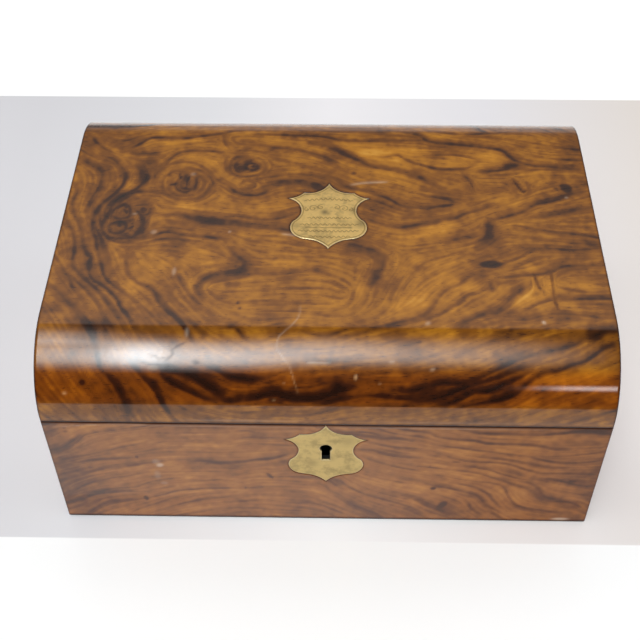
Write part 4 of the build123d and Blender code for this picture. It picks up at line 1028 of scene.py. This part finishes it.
def veneer_sheet(name, columns, rows, lay, unlay, start, figure, hole, seams, body, mat):
    """A worn veneer sheet with its figure and the bed of its brass plate.

    lay puts points of the flat sheet in the box and unlay takes them back. The figure
    starts at start along the sheet. Painted shade, with grime, darkens it at the seams and round
    the plate, and it is darker along its side edges."""
    wide = len(columns)
    u, v = (np.array([place for place, _ in line]) for line in (columns, rows))
    sink = np.add.outer([r[1] for r in rows], [c[1] for c in columns])
    grid_u, grid_v = np.meshgrid(u, v)
    i0, i1 = np.searchsorted(u, [hole[:, 0].min() - 2, hole[:, 0].max() + 2])
    j0, j1 = np.searchsorted(v, [hole[:, 1].min() - 2, hole[:, 1].max() + 2])
    j1 = min(j1, len(v) - 1)
    flat = list(zip(grid_u.ravel(), grid_v.ravel(), np.minimum(sink, VENEER).ravel()))
    faces = []
    for j in range(len(v) - 1):
        for i in range(wide - 1):
            if not (i0 <= i < i1 and j0 <= j < j1):
                a = j * wide + i
                faces.append((a, a + 1, a + wide + 1, a + wide))
    border = [(i, j0) for i in range(i0, i1)] + [(i1, j) for j in range(j0, j1)]
    border += [(i, j1) for i in range(i1, i0, -1)] + [(i0, j) for j in range(j1, j0, -1)]
    loop = refine(hole, 0.8)
    free = np.array([(u[i], v[j]) for j in range(j0 + 1, j1) for i in range(i0 + 1, i1)])
    free = free[~inside(free, loop) & (distance(free, [loop]) > 0.35)]
    outlines = [np.array([(u[i], v[j]) for i, j in border]), loop]
    verts, patch, came = tile(free, outlines, lambda middles: ~inside(middles, loop))
    ids = {came[len(free) + k]: j * wide + i for k, (i, j) in enumerate(border)}
    for k, place in enumerate(verts):
        if k not in ids:
            ids[k] = len(flat)
            flat.append((*place, 0.0))
    faces += [tuple(ids[k] for k in f) for f in patch]
    first = len(free) + len(border)
    ring = [ids[came[first + k]] for k in range(len(loop))]
    faces += walls(ring, range(len(flat), len(flat) + len(ring)))
    flat += [(*flat[k][:2], VENEER) for k in ring]
    made = new_object(name, lay(*np.array(flat).T), faces, body, mat)
    x, s = unlay(*np.array([tuple(vert.co) for vert in made.data.vertices]).T / MM)
    tone, bare, chips = (figure.at(field, x, s - start)
                         for field in (figure.tone, figure.bare, figure.chips))
    # Painted shade, with grime, at the seams and, on the front, at its foot on the table; a
    # darkening along the side edges; painted shade round the plate; and the chips' own grime
    dirt = np.max([bell(s - edge, *SEAM_SHADE_AND_DIRT) for edge in seams], 0)
    dirt = np.maximum(dirt, bell(HALF_W - abs(x), *SIDE_DARKENING))
    near = (abs(x) < hole[:, 0].max() + 3) & (abs(s - hole[:, 1].mean()) < 40)
    gap = distance(np.stack([x[near], s[near]], 1), [loop])
    dirt[near] = np.maximum(dirt[near], bell(gap, *PLATE_SHADE_AND_DIRT))
    write_attributes(made, tone=tone, bare=bare, dirt=np.maximum(dirt, chips))
    return made


def lid_place(u, s, sink):
    """A point of the lid's sheet, s along it from the front seam, in the box."""
    a = np.clip((s - RISE) / ROUND, 0, pi / 2)
    b = np.clip((s - RISE - ARC - FLAT) / ROUND, 0, pi / 2)
    front, back = s < RISE, s > RISE + 2 * ARC + FLAT
    ny, nz = -np.cos(a) + np.sin(b), np.where(b > 0, np.cos(b), np.sin(a))
    flat = np.clip(s - RISE - ARC, 0, FLAT) - FLAT / 2
    y = flat + ROUND * ny
    z = TOP - ROUND + ROUND * nz
    z = z + np.where(front, s - RISE, 0) - np.where(back, s - RISE - 2 * ARC - FLAT, 0)
    return list(zip(u, y - ny * sink, z - nz * sink))


def lid_unplace(x, y, z):
    """Where points of the bent sheet lie on it when it is flat."""
    up, side = z - (TOP - ROUND), abs(y) - FLAT / 2
    bend = ROUND * np.arctan2(side, np.maximum(up, 0))
    from_top = np.where(side > 0, np.where(up < 0, ARC - up, bend), side)
    return x, RISE + ARC + FLAT / 2 + np.sign(y) * (FLAT / 2 + from_top)


def front_place(u, v, sink):
    return list(zip(u, -HALF_D + sink, v))


def front_unplace(x, y, z):
    return x, z


def wriggle(left, right, height, swing, wave, arch=0.0):
    """A waved engraver's line across a plate."""
    x = np.arange(left, right, 0.12)
    middle, half = (left + right) / 2, (right - left) / 2
    rise = arch * (1 - ((x - middle) / half) ** 2)
    ease = np.clip((half - abs(x - middle)) / 2, 0.2, 1)
    return np.stack([x, height + rise + swing * ease * np.sin(2 * pi * x / wave)], 1)


def scroll(x, y, size, turns, sense):
    """An engraver's spiral, opening from its eye."""
    a = np.linspace(0.8, 2 * pi * turns, 60)
    r = size * a / a[-1]
    return np.stack([x + sense * r * np.cos(a), y + r * np.sin(a)], 1)


def brass_plate(name, node, axis, level, body, mat, step, spots, border=None, engraving=()):
    """A plate cut to the CAD outline, its edge eased and lines cut inside it.

    A spot has its place, its reach and how dull it is."""
    loops = [refine(loop, step) for loop in loops_of(node, axis, level)]
    outer, holes = loops[0], loops[1:]
    low, high = outer.min(0), outer.max(0)

    def on_plate(points):
        good = inside(points, outer)
        for hole in holes:
            good &= ~inside(points, hole)
        return good

    us, vs = (np.arange(low[k] + step / 2, high[k], step) for k in (0, 1))
    free = np.array([(a, b) for b in vs for a in us])
    free = free[on_plate(free) & (distance(free, loops) > step / 2)]
    verts, faces, came = tile(free, loops, on_plate)
    edge = distance(verts, loops)
    line = np.zeros(len(verts))
    if border:
        line = bell(distance(verts, [outer]) - border, BORDER_LINE)
    for run in engraving:
        for start in range(0, len(run), 40):
            part = run[start:start + 41]
            close = np.all((verts > part.min(0) - 1) & (verts < part.max(0) + 1), 1)
            gaps = np.linalg.norm(verts[close][:, None] - part[None], axis=2)
            line[close] = np.maximum(line[close], bell(gaps.min(1), ENGRAVED_LINE))
    spot = np.zeros(len(verts))
    for x, y, reach, amount in spots:
        gap = np.linalg.norm(verts - (x, y), axis=1)
        spot = np.maximum(spot, bell(gap, reach, amount))
    height = PLATE_PROUD - EASED * np.exp(-edge / EASE_REACH) - CUT * line
    points = [(*p, h) for p, h in zip(verts, height)]
    first = len(free)
    for loop in loops:
        ring = [came[first + k] for k in range(len(loop))]
        # A hole's walls are painted as dark as a cut line: painted shade down the hole
        if loop is not outer:
            line[ring] = 1.0
        first += len(loop)
        faces += walls(ring, range(len(points), len(points) + len(ring)))
        points += [(*verts[k], PLATE_FOOT) for k in ring]
    if axis == 2:
        laid = [(a, b, level + h) for a, b, h in points]
    else:
        laid = [(a, level - h, b) for a, b, h in points]
    made = new_object(name, laid, faces, body, mat)
    rest = np.zeros(len(points) - len(verts))
    # The plate's sides are painted dark, as painted shade where the plate meets the wood
    write_attributes(made, rim=[*edge, *rest], engraved=[*line, *rest + SIDE_SHADE],
                     spot=[*spot, *rest])
    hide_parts(node)


def flat_face(node, hint, side):
    """The biggest flat face of a CAD node that looks the way of hint, on one side of x = 0.

    Gives its points in mm and its normal."""
    mesh = nodes[node].data
    groups = {}
    for polygon in mesh.polygons:
        if polygon.normal.dot(hint) > 0.9 and side * polygon.center.x >= 0:
            key = round(polygon.center.dot(polygon.normal) / MM, 1)
            groups.setdefault(key, []).append(polygon)
    best = max(groups.values(), key=lambda group: sum(p.area for p in group))
    ids = {i for polygon in best for i in polygon.vertices}
    return [mesh.vertices[i].co / MM for i in ids], best[0].normal.copy()


def screw_head(middle, normal, turn, radius):
    """A slotted head, a little proud of the plate, as vertices in mm and faces."""
    along = Vector((cos(turn), sin(turn), 0))
    along = (along - normal * along.dot(normal)).normalized()
    across = normal.cross(along)
    slot = SLOT_HALF * radius
    vertices, faces = [], []

    def add(a, b, height):
        vertices.append(middle + along * a + across * b + normal * height)
        return len(vertices) - 1

    for sense in (1, -1):
        rings = []
        for r, height in ((radius, 0.0), (radius * HEAD_TOP, HEAD_PROUD)):
            start = np.arcsin(slot / r)
            turns = np.linspace(start, pi - start, 15)
            rings.append([add(sense * r * cos(a), sense * r * sin(a), height) for a in turns])
        outer, top = rings
        foot = [add(sense * r * cos(a), sense * r * sin(a), GROOVE)
                for a in (turns[0], turns[-1])]
        faces += [(a, b, d, c) for a, b, c, d in zip(outer, outer[1:], top, top[1:])]
        faces += [tuple(top), (top[0], top[-1], foot[1], foot[0])]
    corners = ((-radius, -slot), (radius, -slot), (radius, slot), (-radius, slot))
    faces.append(tuple(add(a, b, GROOVE) for a, b in corners))
    return vertices, faces


def screws(name, node, hint, body, xs, radius, zigzag=0.0, side=0):
    """Screw heads along a CAD plate, at places across it given from the plate's middle."""
    points, normal = flat_face(node, hint, side)
    back = normal.cross(Vector((1, 0, 0)))
    centre, rise = ((min(reach) + max(reach)) / 2
                    for reach in ([p.x for p in points], [p.dot(back) for p in points]))
    vertices, faces = [], []
    for k, x in enumerate(xs):
        up = rise + zigzag * (1 if k % 2 else -1)
        middle = Vector((centre + x, 0, 0)) + back * up + normal * points[0].dot(normal)
        head, sides = screw_head(middle, normal, 0.7 + 1.9 * k + len(name), radius)
        faces += [tuple(len(vertices) + i for i in f) for f in sides]
        vertices += head
    new_object(name, vertices, faces, body, brass, smooth=False)


# Materials for every piece
OLD_BRASS = (rgb(205, 168, 96), rgb(120, 92, 52), 0.32)
brass = metal("old_brass", *OLD_BRASS)
lipping = seam_shaded_lipping("lipping_walnut", stretch=2.0, polish=0.4, veil=0.3)
slots = {
    "walnut_veneer": plain_walnut("plain_veneer"),
    "walnut_lipping": lipping,
    "pine": softwood("pine"),
    "brass": brass,
    "steel": metal("old_steel", rgb(150, 148, 145), rgb(84, 74, 66), 0.38),
    "leather": tooled_leather("leather", "base_flap_leather"),
    "baize": baize("green_baize"),
    "glass": glass("cut_glass"),
}
slot_of = {part["node"]: part.get("material_slot") for part in frame["record"]["subparts"]}
own = dict.fromkeys(SIDE_VENEERS, plain_walnut("side_veneer", axis=1, stretch=1.6))
own["lid_flap_leather"] = tooled_leather("lid_flap_leather", "lid_flap_leather")

# Painted shade, with old grease, blackens what is seen through the keyhole, as far back as the
# lock's case
KEY_DEPTH = 11.6
key_outline, keyhole = loops_of("escutcheon", 1, -HALF_D)[:2]
key_x, key_z = keyhole.mean(0)
key_centre = (key_x * MM, (KEY_DEPTH - HALF_D) * MM, key_z * MM)
own["base_front_wall"] = keyhole_shade(softwood("keyhole_pine"), key_centre, reach=0.018)
shaded_keyhole_brass = keyhole_shade(metal("keyhole_brass", *OLD_BRASS), key_centre, reach=0.022)
own.update(lock_case=shaded_keyhole_brass, lock_cap=shaded_keyhole_brass)
for name, obj in nodes.items():
    obj.data.materials.clear()
    obj.data.materials.append(own.get(name) or slots.get(slot_of.get(name), lipping))

# The screws of a main hinge's leaf, a small butt's leaf and the lock and its link plate:
# their places along it from its middle, their radius and, of the first, their zigzag
HINGE_SCREWS, BUTT_SCREWS, LOCK_SCREWS = ((-15, 0, 15), 2.3, 0.8), ((-7, 7), 1.3), ((-27, 27), 2.0)
up, down = Vector((0, 0, 1)), Vector((0, 0, -1))
for side, word in ((-1, "left"), (1, "right")):
    for part, look in (("base", up), ("lid", down)):
        screws(f"{word}_hinge_{part}_screws", f"{word}_hinge_{part}_leaf", look, part,
               *HINGE_SCREWS)
    for flap, look in (("base", up), ("lid", down)):
        for part, body in (("fixed", flap), ("moving", flap + "_flap")):
            node = f"{flap}_flap_butts_{part}"
            screws(f"{word}_{node}_screws", node, look, body, *BUTT_SCREWS, side=side)
screws("lock_screws", "lock_case", up, "base", *LOCK_SCREWS)
screws("link_plate_screws", "link_plate", down, "lid", *LOCK_SCREWS)

# The lid's sheet. The back of its curve has the streaks of the front's again


def turned(streak):
    """The same streak, half a turn round, for the back of the curve."""
    width, depth, *points = streak
    return (width, depth, *(SHEET_END - RISE - c if k % 2 else -c for k, c in enumerate(points)))


# Streaks that end short of this are turned. From its back start on, the sheet is coarser
TURNED_END, BACK_START = 85, RISE + ARC + FLAT + 16
columns = edge_columns(-HALF_W, HALF_W, step=0.85, radius=WORN)
lid_rows = [(LID_EDGE, VENEER), (LID_EDGE, 0.3), (LID_EDGE + 0.3, 0.0)]
lid_rows += [(s, 0.0) for s in np.arange(LID_EDGE + 1.1, BACK_START, 0.9)]
lid_rows += [(s, 0.0) for s in np.linspace(BACK_START, SHEET_END, 36)] + [(SHEET_END, VENEER)]
streaks = LID_STREAKS + [turned(run) for run in LID_STREAKS if max(run[3::2]) < TURNED_END]
drawn = (streaks, LID_CLOUDS, LID_SPOTS, LID_MARKS, LID_FLECKS, LID_CHIPS)
lid_figure = Figure(SHEET_END, drawn, seed=11, lines=0.05, depth=1.0)
plate_outline = loops_of("cartouche", 2, TOP)[0]
lid_sheet = veneer_sheet(
    "lid_figure", columns, lid_rows, lid_place, lid_unplace, RISE, lid_figure,
    plate_outline + (0, RISE + ARC + FLAT / 2), (LID_EDGE,), "lid",
    figured_walnut("lid_walnut", stain=low_curve),
)
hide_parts("lid_veneer")

# The front's sheet, with painted shade at its foot on the table as well as at its seam
drawn = (FRONT_STREAKS, FRONT_CLOUDS, FRONT_SPOTS, FRONT_MARKS, FRONT_FLECKS, FRONT_CHIPS)
front_figure = Figure(BASE_HIGH, drawn, seed=23, lines=0.14, depth=1.5, width=0.62)
front_sheet = veneer_sheet(
    "front_figure", columns, edge_columns(BASE_LOW, FRONT_EDGE, step=0.95, radius=0.15),
    front_place, front_unplace, 0, front_figure, key_outline, (BASE_LOW, FRONT_EDGE), "base",
    drier_right(figured_walnut("front_walnut", tones=PALER_FRONT_WALNUT)),
)
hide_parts("base_front_veneer")

# The plates. The lid's has waved lines, each with its ends, height, swing, wavelength and
# arch, and scrolls, each with its eye's place, size and turns. Then the plates' dull spots
WAVES = ((-14, 14, 12, 0.7, 2.6, 1.4), (-12, 13, -2.5, 0.6, 2.3, 0), (-16, 17, -8, 0.6, 2.6, 0),
         (-17, 17, -13, 0.6, 2.4, -0.6), (-11, 12, -17.5, 0.6, 2.6, -0.8),
         (-13, 13, -10.5, 0.25, 7, 0))
SCROLLS = ((9, 5.5, 2.8, 1.5), (4.5, 6.5, 2.2, 1.3), (12.5, 4.5, 1.6, 1.2))
LID_DULL = ((-2.3, 2.2, 2.4, 1.0), (-0.5, 1.2, 1.6, 0.7), (15, 4, 3.0, 0.7),
            (18.5, -7, 3.5, 0.8), (-18, -9, 3.0, 0.5))
KEY_DULL = ((-8, -14, 4.0, 0.5), (12, 7, 5.0, 0.4), (2, -9, 3, 0.5))
plate_y = (plate_outline[:, 1].max() + plate_outline[:, 1].min()) / 2
engraving = [wriggle(a, b, plate_y + c, d, e, f) for a, b, c, d, e, f in WAVES]
engraving += [scroll(sense * x, plate_y + y, size, turns, sense)
              for sense in (-1, 1) for x, y, size, turns in SCROLLS]
lid_brass = shield_brass(
    "lid_plate_brass", rgb(236, 202, 128), rgb(150, 132, 92), rgb(244, 222, 170))
key_brass = shield_brass(
    "key_plate_brass", rgb(198, 172, 112), rgb(140, 124, 84), rgb(226, 206, 158))
brass_plate("lid_plate", "cartouche", 2, TOP, "lid", lid_brass, 0.32,
            [(x, plate_y + y, *rest) for x, y, *rest in LID_DULL], 1.3, engraving)
brass_plate("key_plate", "escutcheon", 1, -HALF_D, "base", key_brass, 0.45,
            [(x, key_z + y, *rest) for x, y, *rest in KEY_DULL])

# The table: its corners, and Y where its pale top turns white behind and before the box
CORNERS = [(-3, -0.45, 0), (3, -0.45, 0), (3, 3, 0), (-3, 3, 0)]
WHITE_BEHIND, WHITE_BEFORE = (0.2925, 0.2935), (-0.1285, -0.1295)
floor = bpy.data.meshes.new("table")
floor.from_pydata(CORNERS, [], [(0, 1, 2, 3)])
table = bpy.data.objects.new("table", floor)
bpy.context.scene.collection.objects.link(table)
mat, g = material("table_painted_light")
x, y = g.axes()[:2]
# Painted light and shade on the table's top: lighter in the middle and darker to the sides,
# brightest just before the box, where it lifts the box's own shadow, and darker further back
side = g.share(x, -0.25, 0.25)
behind = g.ramp(side, stops((0.02, 223, 221, 224), (0.30, 232, 231, 234), (0.5, 248, 245, 247),
                            (0.75, 236, 233, 236), (1.0, 234, 225, 218)))
before = g.ramp(side, stops((0.0, 210, 208, 211), (0.22, 229, 227, 229), (0.5, 255, 254, 254),
                            (0.78, 238, 232, 230), (1.0, 219, 209, 203)))
shade = g.ramp(g.times(y, 3.3), [(0.0, 1.0), (1.0, 0.86)])
behind = g.mix(1.0, behind, shade, blend="MULTIPLY")
table_light_and_shade = g.mix(g.smooth(y, -0.05, -0.12), behind, before)
white = g.math("MAXIMUM", g.smooth(y, *WHITE_BEHIND), g.smooth(y, *WHITE_BEFORE))
g.surface(Base_Color=g.mix(white, table_light_and_shade, rgb(255, 254, 253)), Roughness=0.6)
floor.materials.append(mat)

# The camera
lens = bpy.data.cameras.new("camera")
lens.lens, lens.sensor_width = LENS, SENSOR
camera = bpy.data.objects.new("camera", lens)
camera.location = CAMERA_AT
camera.rotation_euler = tuple(radians(a) for a in CAMERA_TURN)
bpy.context.scene.collection.objects.link(camera)
bpy.context.scene.camera = camera

# The room, painted by direction: over is the angle in degrees from the far horizon up and
# over, and X is the direction's own. A patch has the angles between which it lies, how
# softly they end, the X where it starts, is full, is still full and ends, and its strength
GLARE = (10, 90, 2, -0.5, -0.35, 0.35, 0.5, 1.0)
LOW_GLOW = (-60, 14, 5, -0.5, 0.1, 1.5, 2, 0.62)
LAMP = (160, 166, 3, 0.155, 0.215, 0.28, 0.33, 8.5)
LEFT_WALL = (5, 175, 4, -2, -1.5, -0.75, -0.5, 0.98)
RIGHT_WALL = (5, 175, 4, 0.45, 0.7, 1.5, 2, 0.8)
DIM, WINDOW_LIGHT = 0.06, 24.8
WARM, COOL, WHITE = (1.07, 1.0, 0.98, 1), (0.92, 0.99, 1.02, 1), (1, 1, 1, 1)
# The window's light across it, and up it at its middle and at its left end
ACROSS = [(0.20, 0.0), (0.25, 0.20), (0.3125, 0.285), (0.3625, 0.37), (0.40, 0.92),
          (0.425, 1.0), (0.445, 0.54), (0.48, 0.52), (0.54, 0.40), (0.625, 0.29), (0.71, 0.185),
          (0.80, 0.13), (0.92, 0.0)]
CLIMB = [(0.28, 0.0), (0.34, 0.05), (0.385, 0.18), (0.43, 0.43), (0.475, 0.66), (0.52, 0.90),
         (0.565, 1.0), (0.605, 0.97), (0.65, 0.76), (0.695, 0.34), (0.74, 0.08), (0.78, 0.0)]
LEFT_CLIMB = [(0.18, 0.0), (0.25, 0.14), (0.32, 0.6), (0.40, 0.85), (0.47, 0.0)]
# The ceiling's glare on the lid's flat top, across and from its far edge on
GLARE_ACROSS = [(0.25, 1.0), (0.50, 1.0), (0.64, 0.82), (0.80, 0.86), (0.92, 0.75)]
GLARE_CLIMB = [(0.0, 0.25), (0.18, 0.36), (0.23, 0.50), (0.27, 0.64), (0.31, 0.74),
               (0.354, 0.86), (0.44, 0.96), (0.78, 1.0), (0.86, 0.0)]
world = bpy.data.worlds.new("room")
bpy.context.scene.world = world
g = Graph(world)
x, y, z = g.node("SeparateXYZ", {0: g.node("TexCoord").outputs["Generated"]}).outputs
over = g.times(g.math("ARCTAN2", z, y), 180 / pi)


def patch(over_low, over_high, soft, x_low, x_full_low, x_full_high, x_high, strength):
    """A bright patch of the room between two angles over and two limits of X."""
    rise = g.smooth(over, over_low - soft, over_low + soft)
    fall = g.smooth(over, over_high + soft, over_high - soft)
    left, right = g.smooth(x, x_low, x_full_low), g.smooth(x, x_high, x_full_high)
    return g.times(g.times(g.times(rise, fall), g.times(left, right)), strength)


across = g.share(x, -0.5, 0.3)
up_window = g.share(over, 49, 174)
tilted = g.times(g.smooth(across, 0.50, 0.62), 0.055, up_window)
band = g.times(g.ramp(across, ACROSS), g.ramp(tilted, CLIMB))
left_end = g.times(g.smooth(across, 0.42, 0.32), g.smooth(across, 0.20, 0.26))
left_end = g.times(left_end, g.ramp(up_window, LEFT_CLIMB))
band = g.times(g.times(left_end, 0.24, band), WINDOW_LIGHT)
light = g.times(g.ramp(across, GLARE_ACROSS), g.ramp(g.share(over, 30, 80), GLARE_CLIMB))
light = g.times(light, patch(*GLARE))
for limits in (LOW_GLOW, LAMP, LEFT_WALL, RIGHT_WALL):
    light = g.math("ADD", light, patch(*limits))
light = g.math("ADD", light, DIM)
seen = g.node("LightPath").outputs["Is Camera Ray"]
room = {"Color": g.mix(seen, WARM, WHITE), "Strength": g.mix(seen, light, WHITE)}
pane = {"Color": COOL, "Strength": g.times(band, g.less(1.0, seen))}
both = {k: g.node("Background", shade).outputs[0] for k, shade in enumerate((room, pane))}
g.node("OutputWorld", {"Surface": g.node("AddShader", both).outputs[0]})

bpy.context.scene.view_settings.view_transform = "Standard"
